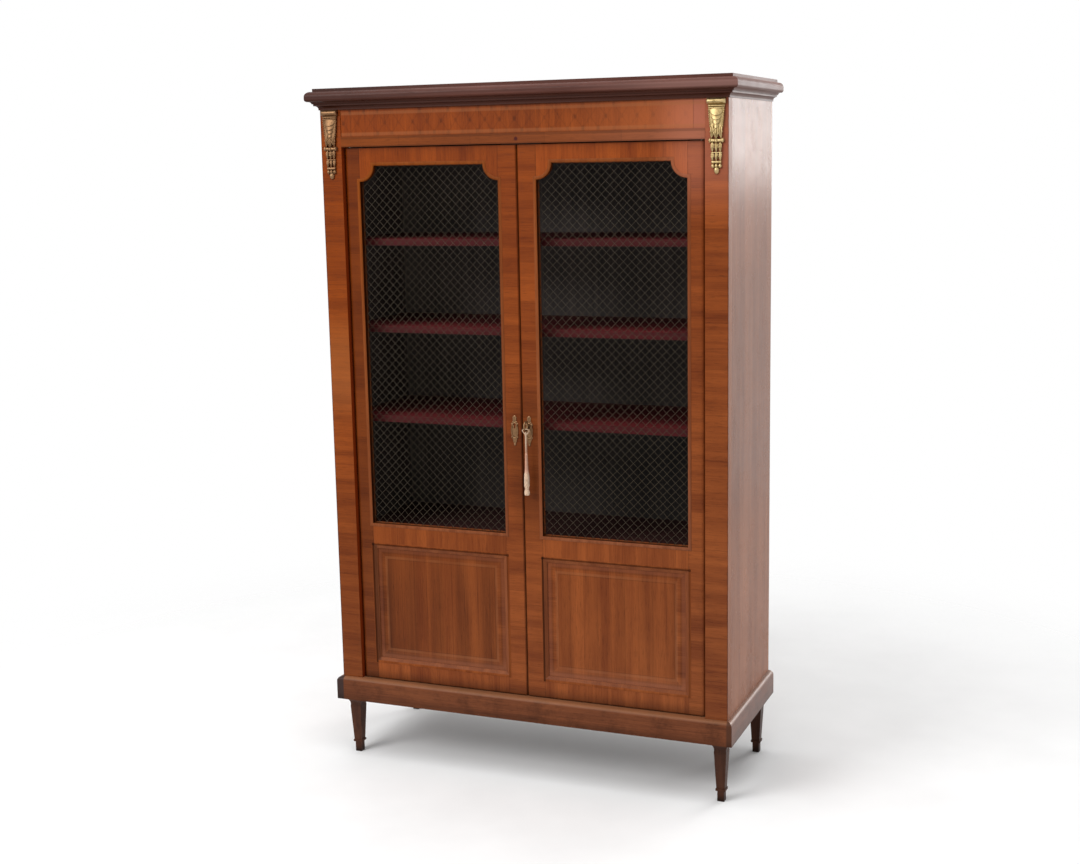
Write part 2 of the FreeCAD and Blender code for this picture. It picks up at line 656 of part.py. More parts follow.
def mitred_frame(limits, heights, section):
    """Four mitred lengths round the inside of an opening; section gives inset and depth."""
    x0, x1 = limits
    z0, z1 = heights
    wide = max(point[0] for point in section)
    corners = [(x0, z0), (x1, z0), (x1, z1), (x0, z1)]
    inner = [(x0 + wide, z0 + wide), (x1 - wide, z0 + wide), (x1 - wide, z1 - wide), (x0 + wide, z1 - wide)]
    depths = (min(point[1] for point in section), max(point[1] for point in section))
    runs = [
        (lambda p, y: V(x0, y, z0 + p), V(x1 - x0, 0, 0)),
        (lambda p, y: V(x1 - p, y, z0), V(0, 0, z1 - z0)),
        (lambda p, y: V(x0, y, z1 - p), V(x1 - x0, 0, 0)),
        (lambda p, y: V(x0 + p, y, z0), V(0, 0, z1 - z0)),
    ]
    lengths = []
    for number, (place, run) in enumerate(runs):
        after = (number + 1) % 4
        wedge = elevation([corners[number], corners[after], inner[after], inner[number]], depths)
        lengths.append(face(section, place).extrude(run).common(wedge))
    return lengths


def door_infill():
    """Panel, grille and the beads and mouldings of a door."""
    save_pair("panel", panel_solid(0.0))
    moulding = [(0.0, DOOR_FRONT), (0.0, PANEL_FACE), (MOULDING_WIDTH, PANEL_FACE),
                (MOULDING_WIDTH, PANEL_FACE - MOULDING_LIP)]
    pieces = mitred_frame((OPENING_LEFT, OPENING_RIGHT), (PANEL_BOTTOM, PANEL_TOP), moulding)
    bead_face = MESH_FACE + MESH_THICKNESS
    wide = MESH_REBATE + BEAD_OVERHANG
    bead = [(0.0, bead_face), (wide, bead_face), (wide, bead_face + BEAD_DEPTH / 2),
            (wide / 2, bead_face + BEAD_DEPTH), (0.0, bead_face + BEAD_DEPTH)]
    pieces += mitred_frame(grown((OPENING_LEFT, OPENING_RIGHT), MESH_REBATE),
                           grown((MESH_BOTTOM, MESH_TOP), MESH_REBATE), bead)
    save_pair("beads", *pieces)
    save_pair("mesh", mesh_net())


def mesh_net():
    """Flat net of diamond gaps that covers the opening of a door."""
    wide = (OPENING_RIGHT - OPENING_LEFT) / MESH_COLUMNS
    rows = round((MESH_TOP - MESH_BOTTOM) / wide)
    high = (MESH_TOP - MESH_BOTTOM) / rows
    half_wide = wide / 2 - MESH_WIRE / math.sqrt(2)
    half_high = high / 2 - MESH_WIRE / math.sqrt(2)
    edge = MESH_REBATE - JOINT_CLEARANCE
    x0, x1 = OPENING_LEFT - edge, OPENING_RIGHT + edge
    z0, z1 = MESH_BOTTOM - edge, MESH_TOP + edge
    corners = [V(x0, MESH_FACE, z0), V(x1, MESH_FACE, z0), V(x1, MESH_FACE, z1), V(x0, MESH_FACE, z1)]
    wires = [Part.makePolygon(corners + corners[:1])]
    for row in range(2 * rows - 1):
        offset = row % 2
        for column in range(MESH_COLUMNS - offset):
            x = OPENING_LEFT + (column + (1 + offset) / 2) * wide
            z = MESH_BOTTOM + (row + 1) * high / 2
            points = [V(x - half_wide, MESH_FACE, z), V(x, MESH_FACE, z - half_high),
                      V(x + half_wide, MESH_FACE, z), V(x, MESH_FACE, z + half_high)]
            wires.append(Part.makePolygon(points + points[:1]))
    return Part.makeFace(wires, "Part::FaceMakerBullseye").extrude(V(0, MESH_THICKNESS, 0))


def pivot_plate(bottom):
    """Plate of a pivot, let into the end of the hinge stile."""
    limits = (HINGE_X + PIVOT_PLATE_NOSE - PIVOT_PLATE_LENGTH, HINGE_X + PIVOT_PLATE_NOSE)
    return block(limits, around(DOOR_MIDDLE, PIVOT_PLATE_WIDTH), (bottom, bottom + PIVOT_PLATE_THICKNESS))


def pivot_seats():
    """Recesses for the pivot plates at the bottom and top of the hinge stile."""
    return [pivot_plate(DOOR_BOTTOM), pivot_plate(DOOR_TOP - PIVOT_PLATE_THICKNESS)]


def door_pivots():
    """Plates with pins, at the bottom and top of each door."""
    reach = DOOR_END_GAP + PIVOT_PIN_ENGAGEMENT
    low = Part.makeCylinder(PIVOT_PIN_RADIUS, reach, V(HINGE_X, DOOR_MIDDLE, DOOR_BOTTOM - reach))
    high = Part.makeCylinder(PIVOT_PIN_RADIUS, reach, V(HINGE_X, DOOR_MIDDLE, DOOR_TOP))
    lower, upper = pivot_seats()
    save_pair("pivots", lower.fuse(low), upper.fuse(high))


def keyhole_plates():
    """Oval plate with a finial at each end, on both meeting stiles."""
    middle = KEY_HEIGHT - PLATE_EYE_DROP
    depth = (DOOR_FRONT - PLATE_THICKNESS, DOOR_FRONT)
    oval = Part.Ellipse(V(0, 0, 0), PLATE_EYE_HALF_HEIGHT, PLATE_HALF_WIDTH).toShape()
    eye = Part.Face(Part.Wire(oval)).extrude(V(0, 0, PLATE_THICKNESS))
    eye.Placement = FreeCAD.Placement(V(KEY_OFFSET, depth[1], middle),
                                      FreeCAD.Rotation(V(0, 0, 1), V(1, 0, 0), V(0, -1, 0), "ZYX"))
    reach = PLATE_HALF_HEIGHT - PLATE_FINIAL_RADIUS
    neck = block(around(KEY_OFFSET, PLATE_NECK), depth, around(middle, 2 * reach))
    ends = [Part.makeCylinder(PLATE_FINIAL_RADIUS, PLATE_THICKNESS,
                              V(KEY_OFFSET, depth[0], middle + way * reach), V(0, 1, 0)) for way in (-1, 1)]
    plate = eye.fuse([neck] + ends).removeSplitter()
    save_pair("keyhole_plate", plate.cut(keyhole(depth)))


def lock_bolt_limits():
    """Height and depth limits of the lock bolt."""
    back = DOOR_BACK + LOCK_DEPTH - LOCK_WALL
    heights = around(KEY_HEIGHT - BOLT_DROP - BOLT_HEIGHT / 2, BOLT_HEIGHT)
    return heights, around((DOOR_BACK + back) / 2, BOLT_THICKNESS)


def lock():
    """Rim lock on the right door, its bolt, and the strike on the left door."""
    heights, depth = lock_bolt_limits()
    edge = MEETING_X + LOCK_EDGE_GAP
    outer = (edge, edge + LOCK_WIDTH)
    tall = around(KEY_HEIGHT, LOCK_HEIGHT)
    back = DOOR_BACK + LOCK_DEPTH
    case = block(outer, (DOOR_BACK, back), tall)
    case = case.cut(block(grown(outer, -LOCK_WALL), (DOOR_BACK, back - LOCK_WALL), grown(tall, -LOCK_WALL)))
    slot = block((edge, edge + LOCK_WALL), grown(depth, SLIDING_CLEARANCE), grown(heights, SLIDING_CLEARANCE))
    case = case.cut(slot)
    pin = Part.makeCylinder(LOCK_PIN_RADIUS, LOCK_PIN_LENGTH,
                            V(KEY_OFFSET, back - LOCK_WALL - LOCK_PIN_LENGTH, KEY_HEIGHT), V(0, 1, 0))
    save("lock_case", case.fuse(pin))
    save("lock_bolt", block((edge, edge + BOLT_LENGTH), depth, heights))

    far = -edge - STRIKE_LENGTH
    hole = grown(heights, SLIDING_CLEARANCE)
    bridge = (DOOR_BACK + STRIKE_WALL, back - STRIKE_WALL)
    save("lock_strike",
         block((far, -edge), (DOOR_BACK, bridge[0]), grown(hole, STRIKE_LUG)),
         block((far, -edge), bridge, (hole[1], hole[1] + STRIKE_LUG)),
         block((far, -edge), bridge, (hole[0] - STRIKE_LUG, hole[0])),
         block((far, -edge), (bridge[1], back), grown(hole, STRIKE_LUG)))


def key():
    """Hollow key: shank, bit and ring bow in the upright plane."""
    tip = DOOR_BACK + LOCK_DEPTH - LOCK_WALL - KEY_TIP_GAP
    ring_y = DOOR_FRONT - BOW_STAND
    shank_start = ring_y + BOW_RADIUS
    shank = Part.makeCylinder(SHANK_RADIUS, tip - shank_start,
                              V(KEY_OFFSET, shank_start, KEY_HEIGHT), V(0, 1, 0))
    ring = Part.makeTorus(BOW_RADIUS, BOW_WIRE_RADIUS, V(KEY_OFFSET, ring_y, KEY_HEIGHT), V(1, 0, 0))
    bit = block(around(KEY_OFFSET, KEY_BIT_THICKNESS), (tip - KEY_BIT_WIDTH, tip),
                (KEY_HEIGHT - KEY_BIT_REACH, KEY_HEIGHT))
    bore_start = DOOR_BACK + LOCK_DEPTH - LOCK_WALL - LOCK_PIN_LENGTH - KEY_TIP_GAP
    bore = Part.makeCylinder(LOCK_PIN_RADIUS + RUNNING_CLEARANCE, tip - bore_start,
                             V(KEY_OFFSET, bore_start, KEY_HEIGHT), V(0, 1, 0))
    save("key", shank.fuse([bit, ring]).cut(bore).removeSplitter())


def tassel():
    """Cord looped round the foot of the bow, with a tassel at its end."""
    ring_y = DOOR_FRONT - BOW_STAND
    wire_z = KEY_HEIGHT - BOW_RADIUS
    loop_size = BOW_WIRE_RADIUS + LOOP_CLEARANCE + LOOP_RADIUS
    loop = Part.makeTorus(loop_size, LOOP_RADIUS, V(KEY_OFFSET, ring_y, wire_z), V(0, 1, 0))
    cord_top = wire_z - loop_size
    cord_end = cord_top - CORD_LENGTH
    cord = Part.makeCylinder(CORD_RADIUS, CORD_LENGTH, V(KEY_OFFSET, ring_y, cord_end))
    save("tassel_cord", loop.fuse(cord).removeSplitter())
    head = cord_end - TASSEL_HEAD_LENGTH
    tie = head - TASSEL_TIE_LENGTH
    foot_z = cord_end - TASSEL_LENGTH
    outline = [(0.0, cord_end), (TASSEL_RADIUS - TASSEL_EDGE, cord_end),
               (TASSEL_RADIUS, cord_end - TASSEL_EDGE), (TASSEL_RADIUS, head),
               (TASSEL_TIE_RADIUS, head - TASSEL_TIE_LENGTH / 2), (TASSEL_RADIUS, tie),
               (TASSEL_RADIUS, foot_z + TASSEL_EDGE), (TASSEL_RADIUS - TASSEL_EDGE, foot_z), (0.0, foot_z)]
    body = face(outline, lambda r, z: V(KEY_OFFSET + r, ring_y, z))
    save("tassel", body.revolve(V(KEY_OFFSET, ring_y, 0), V(0, 0, 1), 360))


def rod_limits():
    """Side and depth limits of the sliding bolts on the left door."""
    side = around(-MEETING_X - MEETING_STILE_WIDTH / 2, ROD_SIZE)
    return side, (DOOR_BACK + ROD_STAND, DOOR_BACK + ROD_STAND + ROD_SIZE)


def sliding_bolts():
    """Upper and lower bolt of the left door, their guides and keepers."""
    side, depth = rod_limits()
    middle = (side[0] + side[1]) / 2
    lower_end = FLOOR_TOP + ROD_THROW + ROD_END_GAP
    spans = {"upper_bolt": (DOOR_TOP - ROD_END_GAP - ROD_LENGTH, DOOR_TOP - ROD_END_GAP),
             "lower_bolt": (lower_end, lower_end + ROD_LENGTH)}
    guides = []
    for name, span in spans.items():
        knob_z = (span[0] + span[1]) / 2
        knob = Part.makeCylinder(ROD_KNOB_RADIUS, ROD_KNOB_LENGTH, V(middle, depth[1], knob_z), V(0, 1, 0))
        save(name, block(side, depth, span).fuse(knob).removeSplitter())
        channel = block(grown(side, SLIDING_CLEARANCE), grown(depth, SLIDING_CLEARANCE), span)
        for z in (span[0] + GUIDE_INSET, span[1] - GUIDE_INSET):
            guide_depth = (DOOR_BACK, depth[1] + GUIDE_WALL)
            guide = block(around(middle, GUIDE_WIDTH), guide_depth, around(z, GUIDE_HEIGHT))
            guides.append(guide.cut(channel))
    save("bolt_guides", *guides)

    hole = grown(side, SLIDING_CLEARANCE)
    front_bar = (depth[0] - SLIDING_CLEARANCE - KEEPER_FRONT, depth[0] - SLIDING_CLEARANCE)
    rise = (FLOOR_TOP, FLOOR_TOP + KEEPER_RISE)
    upper_rise = (FRIEZE_BOTTOM, FRIEZE_BOTTOM + KEEPER_RISE)
    keepers = [block(grown(hole, KEEPER_LUG), front_bar, rise),
               block((hole[0] - KEEPER_LUG, hole[0]), (front_bar[1], depth[1]), rise),
               block((hole[1], hole[1] + KEEPER_LUG), (front_bar[1], depth[1]), rise),
               block(grown(hole, KEEPER_LUG), (FRIEZE_BACK, front_bar[1]), upper_rise)]
    save("bolt_keepers", *keepers)


def drop_pins():
    """Pins that hold the right bronze drop, driven into the corner stile."""
    middle = HALF - CORNER_STILE_WIDTH / 2
    start = FRONT - DROP_DEPTH - DROP_PIN_PROUD
    levels = (DROP_UPPER_PIN_LEVEL, DROP_MIDDLE_PIN_LEVEL, DROP_LOWER_PIN_LEVEL)
    return [Part.makeCylinder(DROP_PIN_RADIUS, DROP_PIN_LENGTH,
                              V(middle, start, CORNICE_BOTTOM - level), V(0, 1, 0)) for level in levels]


def bronze_drops():
    """Bronze drop on each corner stile, with its pins."""
    middle = HALF - CORNER_STILE_WIDTH / 2
    top = CORNICE_BOTTOM
    right_side = [(middle + half, top - down) for down, half in DROP_OUTLINE]
    left_side = [(middle - half, top - down) for down, half in reversed(DROP_OUTLINE)]
    drop = elevation(right_side + left_side, (FRONT - DROP_DEPTH, FRONT))
    cap_depth = (FRONT - DROP_CAP_DEPTH, FRONT)
    cap = block(around(middle, 2 * DROP_OUTLINE[0][1]), cap_depth, (top - DROP_CAP_HEIGHT, top))
    belly_wide = DROP_BELLY_HALF_WIDTH
    belly = [(-belly_wide, 0.0), ((0.0, -DROP_BELLY_DEPTH), (belly_wide, 0.0))]
    belly = face(belly, lambda x, y: V(middle + x, FRONT + y, top - DROP_BELLY_BOTTOM))
    belly = belly.extrude(V(0, 0, DROP_BELLY_BOTTOM - DROP_BELLY_TOP))
    drop = drop.fuse([cap, belly]).removeSplitter()
    for pin in drop_pins():
        drop = drop.cut(pin)
    save_pair("bronze_drop", drop)
    save("drop_pins", *drop_pins(), *[mirrored(pin) for pin in drop_pins()])


feet_and_plinth()
carcass()
pivot_sockets()
head_stops()
shelves()
door_frame()
door_infill()
door_pivots()
keyhole_plates()
lock()
key()
tassel()
sliding_bolts()
bronze_drops()
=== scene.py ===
import math

import bmesh
import bpy
import numpy as np
from mathutils import Matrix, Vector


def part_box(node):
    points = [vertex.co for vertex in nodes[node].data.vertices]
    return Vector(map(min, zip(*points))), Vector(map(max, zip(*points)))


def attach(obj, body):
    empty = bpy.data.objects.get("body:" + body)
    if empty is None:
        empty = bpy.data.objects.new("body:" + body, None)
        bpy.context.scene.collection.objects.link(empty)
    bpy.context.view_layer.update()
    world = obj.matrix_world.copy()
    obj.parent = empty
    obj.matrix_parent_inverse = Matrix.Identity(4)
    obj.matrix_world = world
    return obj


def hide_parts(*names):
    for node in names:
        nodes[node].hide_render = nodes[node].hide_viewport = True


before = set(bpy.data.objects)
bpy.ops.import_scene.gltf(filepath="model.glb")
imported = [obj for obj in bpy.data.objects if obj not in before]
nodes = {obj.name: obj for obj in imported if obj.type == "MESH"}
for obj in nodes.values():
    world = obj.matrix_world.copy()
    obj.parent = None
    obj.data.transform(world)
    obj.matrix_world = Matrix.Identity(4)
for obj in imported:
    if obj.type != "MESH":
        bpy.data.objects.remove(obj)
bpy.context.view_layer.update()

# Camera of the photograph, in metres and degrees; its focal length is in pixels of the picture
CAMERA_PLACE = (1.614, -4.0155, 1.710)
CAMERA_TURN = 22.24
CAMERA_DIP = 10.0
CAMERA_ROLL = -1.10
FOCAL_PIXELS = 1566.4
PICTURE_WIDTH = 1080
SENSOR_WIDTH = 36.0

# Sizes as in the part's source, in metres
CORNER_RADIUS = 0.043
FASCIA_HEIGHT = 0.027
MESH_HOLD = 0.0079

# Planes and openings read from the frame, in metres
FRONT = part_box("right_corner_stile")[0].y
DOOR_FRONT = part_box("right_hinge_stile")[0].y
BACK_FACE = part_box("back_boards")[0].y
BACK_BOARD_WIDTH = (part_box("back_boards")[1].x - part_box("back_boards")[0].x) / 3
SIDE_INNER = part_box("right_side")[0].x
SIDE_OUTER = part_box("right_side")[1].x
STILE_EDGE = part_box("right_corner_stile")[0].x
FRIEZE_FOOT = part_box("frieze_rail")[0].z
FASCIA_TOP = FRIEZE_FOOT + FASCIA_HEIGHT
CORNICE_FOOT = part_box("cornice_front")[0].z
CORNICE_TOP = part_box("cornice_front")[1].z
PLINTH_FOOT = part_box("plinth_front")[0].z
PLINTH_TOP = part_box("plinth_front")[1].z
DOOR_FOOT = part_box("right_bottom_rail")[0].z
OPENING_X = (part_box("right_meeting_stile")[1].x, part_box("right_hinge_stile")[0].x)
OPENING_Z = (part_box("right_middle_rail")[1].z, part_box("right_mesh")[1].z - MESH_HOLD)
OPENINGS = {"left": (-OPENING_X[1], -OPENING_X[0]), "right": OPENING_X}
PANEL_Z = (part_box("right_bottom_rail")[1].z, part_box("right_middle_rail")[0].z)
MESH_Y = (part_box("right_mesh")[0].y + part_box("right_mesh")[1].y) / 2

# Key, cord and tassel, as in the part's source
KEY_X = 0.021
KEY_Z = 1.000
BOW_STAND = 0.024
BOW_RADIUS = 0.012
RING_Y = DOOR_FRONT - BOW_STAND
CORD_TOP = 0.9841
CORD_LENGTH = 0.107
CORD_DIAMETER = 0.006

# Strands of the cord, its loop on the ring and the tassel's outline as radius and level
STRANDS = 3
STRAND_RADIUS = 0.00155
STRAND_OFFSET = 0.00145
STRAND_TURNS = 8
STRAND_STEPS = 120
TUBE_CORNERS = 8
LOOP_STEPS = 28
LOOP_RADIUS = 0.0014
LOOP_HALF_WIDTH = 0.0100
LOOP_TAPER = 0.8
LOOP_RISE = 0.0043
LOOP_DROP = 0.0125
TASSEL_THREADS = 22
THREAD_GROOVE = 0.0007
THREAD_TWIST = 260
FINE_RADIUS = 0.003
TASSEL_PROFILE = ((0.0032, 0.926), (0.0036, 0.922), (0.0034, 0.918), (0.0037, 0.906), (0.0043, 0.890),
                  (0.0050, 0.878), (0.0063, 0.870), (0.0070, 0.862), (0.0073, 0.852), (0.0071, 0.843),
                  (0.0074, 0.8405), (0.0074, 0.838), (0.0066, 0.835), (0.0054, 0.832), (0.0052, 0.829),
                  (0.0060, 0.826), (0.0070, 0.822), (0.0073, 0.818), (0.0069, 0.814), (0.0062, 0.8125))

# Woven wire
WIRE_PITCH = 0.0230
WIRE_RADIUS = 0.00055
WIRE_WAVE = 0.0006
WIRE_CORNERS = 6
WIRE_PARTS = 3
GRILLE_OVERLAP = 0.006

# Beads on the edges of the openings and the panels
BEAD_STEPS = 8
BEAD_ROOT = 0.002

# Cast reliefs, in millimetres
MM_PER_METRE = 1000
RELIEF_FLOOR = 0.3
DROP_HALF_WIDTH = 25.6
DROP_LENGTH = 187
PLATE_HALF_WIDTH = 11.2
PLATE_LENGTH = 84
PLATE_STEP = 0.5
OVAL_LEVEL = 42
OVAL_WIDE = 10.8
OVAL_TALL = 23.5
KEYHOLE_LEVEL = 25
KEYHOLE_RADIUS = 3.6
KEYHOLE_SLOT = 2.1
KEYHOLE_FOOT = 36.6

# Widths of the veneer's leaves, stripes and figures
STILE_LEAF = 0.104
RAIL_LEAF = 0.092
BORDER_LEAF = 0.085
PILASTER_LEAF = 0.118
FASCIA_LEAF = 0.21
LINING_PLANK = 0.16
TOP_PLANK = 0.141
VENEER_JOINT = 0.0011
PANEL_STRIPE = 0.039
PANEL_BORDER = 0.035
LOZENGE_WIDTH = 0.042
LOZENGE_HEIGHT = 0.058
FRIEZE_END = 0.482
WHOLE_WIDTH = (-1.0, 1.0)

# Frequencies across and along the grain, per metre
FIBRES = (420.0, 9.0)
PORES = (950.0, 38.0)
RIBBON_ALONG = 1.3

# Floor, its fading edge, and the surroundings' strength as light and as seen
FLOOR_RADIUS = 3.0
FLOOR_FADE = (1.1, 2.6)
WORLD_LIGHT = 0.5
WORLD_SEEN = 1.0


def srgb(red, green, blue):
    """Linear colour of a screen colour given from 0 to 255."""
    def linear(value):
        value /= 255
        return value / 12.92 if value <= 0.04045 else ((value + 0.055) / 1.055) ** 2.4
    return (linear(red), linear(green), linear(blue), 1.0)


# Light and dark of each wood
VENEER = (srgb(144, 73, 28), srgb(98, 43, 14))
DOOR_BEAD = (srgb(140, 78, 42), srgb(98, 48, 24))
OPENING_BEAD = (srgb(140, 80, 44), srgb(102, 52, 26))
FASCIA = (srgb(144, 80, 46), srgb(106, 56, 30))
CORNICE = (srgb(98, 58, 48), srgb(60, 32, 26))
# The right return of the cornice, paler as a painted reflection of glare
CORNICE_IN_GLARE = (srgb(142, 106, 97), srgb(106, 76, 68))
PLINTH = (srgb(124, 70, 41), srgb(84, 44, 25))
FOOT = (srgb(92, 54, 36), srgb(54, 30, 20))
CARCASS = (srgb(126, 90, 62), srgb(80, 52, 35))
LINING = (srgb(70, 61, 55), srgb(44, 39, 36))
SIDE_LINING = (srgb(78, 69, 62), srgb(50, 44, 41))
SHELF = (srgb(112, 41, 43), srgb(78, 28, 30))
# The right side's paler shades are a painted reflection of window glare
SIDE_SHADES = {"left": (srgb(152, 86, 48), srgb(108, 56, 30)),
               "right": (srgb(172, 114, 84), srgb(128, 78, 54))}

# Gloss of the sides, and tones of boards paler or darker than most
SIDE_GLOSS = {"left": 0.06, "right": 0.055}
STILE_TONES = {"left_hinge_stile": 0.66}
RAIL_TONES = {"right_top_rail": 1.28, "left_middle_rail": 0.95}

# Factors of the front's fading and painted light, and of painted light and shade on the lining
REDDENED = (0.96, 0.74, 0.20, 1.0)
BLEACHED_AND_LIT = (1.10, 1.30, 2.05, 1.0)
LINING_SHADE = (0.60, 0.62, 0.65, 1.0)
LINING_LIGHT = (2.30, 2.40, 2.70, 1.0)
BLACK = (0.0, 0.0, 0.0, 1.0)


class Tree:
    """Node tree fed with plain values or with other nodes' sockets."""

    def __init__(self, tree):
        self.tree = tree

    def add(self, kind, *inputs, **settings):
        """New node with its settings and its first inputs."""
        node = self.tree.nodes.new("ShaderNode" + kind)
        for key, value in settings.items():
            setattr(node, key, value)
        for socket, value in zip(node.inputs, inputs):
            self.feed(socket, value)
        return node

    def feed(self, socket, value):
        """Links a socket to an input, or sets its value."""
        if isinstance(value, bpy.types.NodeSocket):
            self.tree.links.new(value, socket)
        elif value is not None:
            socket.default_value = value

    def named(self, node, **inputs):
        """Feeds a node's inputs by name, with underscores for spaces."""
        for key, value in inputs.items():
            self.feed(node.inputs[key.replace("_", " ")], value)
        return node

    def math(self, operation, *inputs, clamp=False):
        return self.add("Math", *inputs, operation=operation, use_clamp=clamp).outputs[0]

    def minus(self, value, other):
        return self.math("SUBTRACT", value, other)

    def times(self, value, other):
        return self.math("MULTIPLY", value, other)


class Graph(Tree):
    """Node tree of one material, with the place on the part in metres."""

    def __init__(self, name):
        self.material = bpy.data.materials.new(name)
        self.material.use_nodes = True
        super().__init__(self.material.node_tree)
        self.shader = self.tree.nodes["Principled BSDF"]
        self.place = self.add("TexCoord").outputs["Object"]
        self.x, self.y, self.z = self.add("SeparateXYZ", self.place).outputs
        self.axis = {"x": self.x, "y": self.y, "z": self.z}

    def set(self, **inputs):
        """Feeds inputs of the shader."""
        self.named(self.shader, **inputs)

    def stretch(self, scale, offset=(0, 0, 0)):
        """Coordinates scaled per axis, for grain."""
        node = self.add("Mapping", self.place, vector_type="POINT")
        return self.named(node, Scale=scale, Location=offset).outputs[0]

    def noise(self, vector, scale=1.0, detail=3.0, rough=0.55, twist=0.0):
        node = self.named(self.add("TexNoise"), Vector=vector, Scale=scale, Detail=detail, Roughness=rough,
                          Distortion=twist)
        return node.outputs[0]

    def ease(self, value, start, end):
        """Smooth step from 0 at start to 1 at end."""
        node = self.add("MapRange", value, start, end, 0.0, 1.0, interpolation_type="SMOOTHSTEP")
        return node.outputs[0]

    def fall(self, value, start, end):
        """Smooth step from 1 at start to 0 at end."""
        return self.minus(1.0, self.ease(value, start, end))

    def between(self, value, rise, drop):
        """1 between a rising and a falling smooth step."""
        return self.minus(self.ease(value, *rise), self.ease(value, *drop))

    def below(self, value, limit, soft=0.0006):
        """1 under a limit, 0 over it."""
        return self.fall(value, limit - soft, limit + soft)

    def line(self, value, centre, width):
        """1 on a line of that width, 0 off it."""
        off = self.math("ABSOLUTE", self.minus(value, centre))
        return self.fall(off, width * 0.3, width * 0.7)

    def ramp(self, value, *stops):
        node = self.add("ValToRGB", value)
        band = node.color_ramp.elements
        while len(band) < len(stops):
            band.new(1.0)
        for element, (position, colour) in zip(band, stops):
            element.position = position
            element.color = colour
        return node.outputs[0]

    def mix(self, amount, first, second, blend="MIX"):
        """The first colour, with an amount of the second."""
        node = self.add("Mix", data_type="RGBA", blend_type=blend, clamp_factor=True)
        self.feed(node.inputs[0], amount)
        self.feed(node.inputs[6], first)
        self.feed(node.inputs[7], second)
        return node.outputs[2]

    def tint(self, colour, mask, depth, other):
        """Colour with a share of another one where the mask is 1."""
        return self.mix(self.times(mask, depth), colour, other)

    def dim(self, colour, mask, depth):
        """Colour darkened where the mask is 1."""
        return self.tint(colour, mask, depth, BLACK)

    def bump(self, height, depth, strength=1.0):
        """Fine relief of a given depth in metres."""
        node = self.named(self.add("Bump"), Height=height, Distance=depth, Strength=strength)
        self.set(Normal=node.outputs[0])

    def inset(self, x_limits, z_limits):
        """Distances inside a rectangle seen from the front: to any edge, an upright and a level one."""
        beside = self.math("MINIMUM", self.minus(self.x, x_limits[0]),
                           self.minus(x_limits[1], self.x))
        over = self.math("MINIMUM", self.minus(self.z, z_limits[0]),
                         self.minus(z_limits[1], self.z))
        return self.math("MINIMUM", beside, over), beside, over


def grain_scale(axis, across, along):
    """Frequencies per metre, low along the grain."""
    return tuple(along if name == axis else across for name in "xyz")


def timber(graph, axis, light, dark, ribbon=30.0, leaves=None, seed=0.0):
    """Colour and height of wood grained along one axis, in veneer leaves of a given axis and width."""
    shift = (seed * 3.1, seed * 1.7, seed * 2.3)
    ribbon_place = graph.stretch(grain_scale(axis, ribbon, RIBBON_ALONG), shift)
    ribbons = graph.noise(ribbon_place, detail=4.0, rough=0.6, twist=0.35)
    fibres = graph.noise(graph.stretch(grain_scale(axis, *FIBRES), shift), detail=4.0, rough=0.7)
    pores = graph.noise(graph.stretch(grain_scale(axis, *PORES), shift), detail=1.0)
    pores = graph.ease(pores, 0.6, 0.72)
    cloud = graph.noise(graph.place, 5.0, detail=3.0)
    blend = 0.0
    for part, share in ((ribbons, 0.5), (fibres, 0.28), (cloud, 0.22)):
        blend = graph.math("MULTIPLY_ADD", graph.ease(part, 0.3, 0.7), share, blend)
    if leaves:
        leaf_axis, leaf_width = leaves
        run = graph.math("ADD", graph.math("DIVIDE", graph.axis[leaf_axis], leaf_width), seed + 40.5)
        tone = graph.named(graph.add("TexWhiteNoise", noise_dimensions="1D"), W=graph.math("FLOOR", run))
        lift = graph.minus(tone.outputs[0], 0.5)
        blend = graph.math("MULTIPLY_ADD", lift, 0.3, blend, clamp=True)
    colour = graph.dim(graph.mix(blend, dark, light), pores, 0.35)
    if leaves:
        part = graph.math("FRACT", run)
        edge = graph.math("MINIMUM", part, graph.minus(1.0, part))
        colour = graph.dim(colour, graph.fall(edge, 0.0, VENEER_JOINT / leaf_width), 0.3)
    height = graph.math("MULTIPLY_ADD", pores, -0.8, fibres)
    return colour, height


def polish(graph, colour, height, rough=0.38, specular=0.09, grain=0.00012):
    """Old polish over wood: worn sheen, with the grain just felt."""
    smudge = graph.noise(graph.place, 16.0, detail=4.0, rough=0.65)
    sheen = graph.math("MULTIPLY_ADD", graph.minus(smudge, 0.5), 0.16, rough)
    graph.set(Base_Color=colour, Specular_IOR_Level=specular, Roughness=sheen)
    graph.bump(height, grain, 0.6)
    return graph.material


def grime_and_shade(graph, colour, nearest, width=0.004, depth=0.4):
    """Darkening within a distance of an edge: wax and dirt, and painted shade where the edge meets or steps
    down to another part.
    """
    wander = graph.math("MULTIPLY_ADD", graph.noise(graph.place, 60.0, detail=2.0), width, nearest)
    return graph.dim(colour, graph.fall(wander, width * 0.3, width * 1.4), depth)


def faded_and_lit(graph, colour):
    """Old polish, redder near the top left and paler towards the foot and the right: partly fading, partly
    painted light.
    """
    drop = graph.times(graph.minus(1.70, graph.z), 0.46)
    right = graph.times(graph.math("ADD", graph.x, 0.55), 0.32)
    share = graph.math("ADD", graph.math("MAXIMUM", drop, 0.0), right, clamp=True)
    colour = graph.mix(1.0, colour, graph.mix(share, REDDENED, BLEACHED_AND_LIT), "MULTIPLY")
    # Painted glare: a pinkish tint on the top right corner
    corner = graph.times(graph.ease(graph.x, 0.36, 0.48), graph.ease(graph.z, 1.52, 1.70))
    return graph.tint(colour, corner, 0.32, srgb(198, 122, 98))


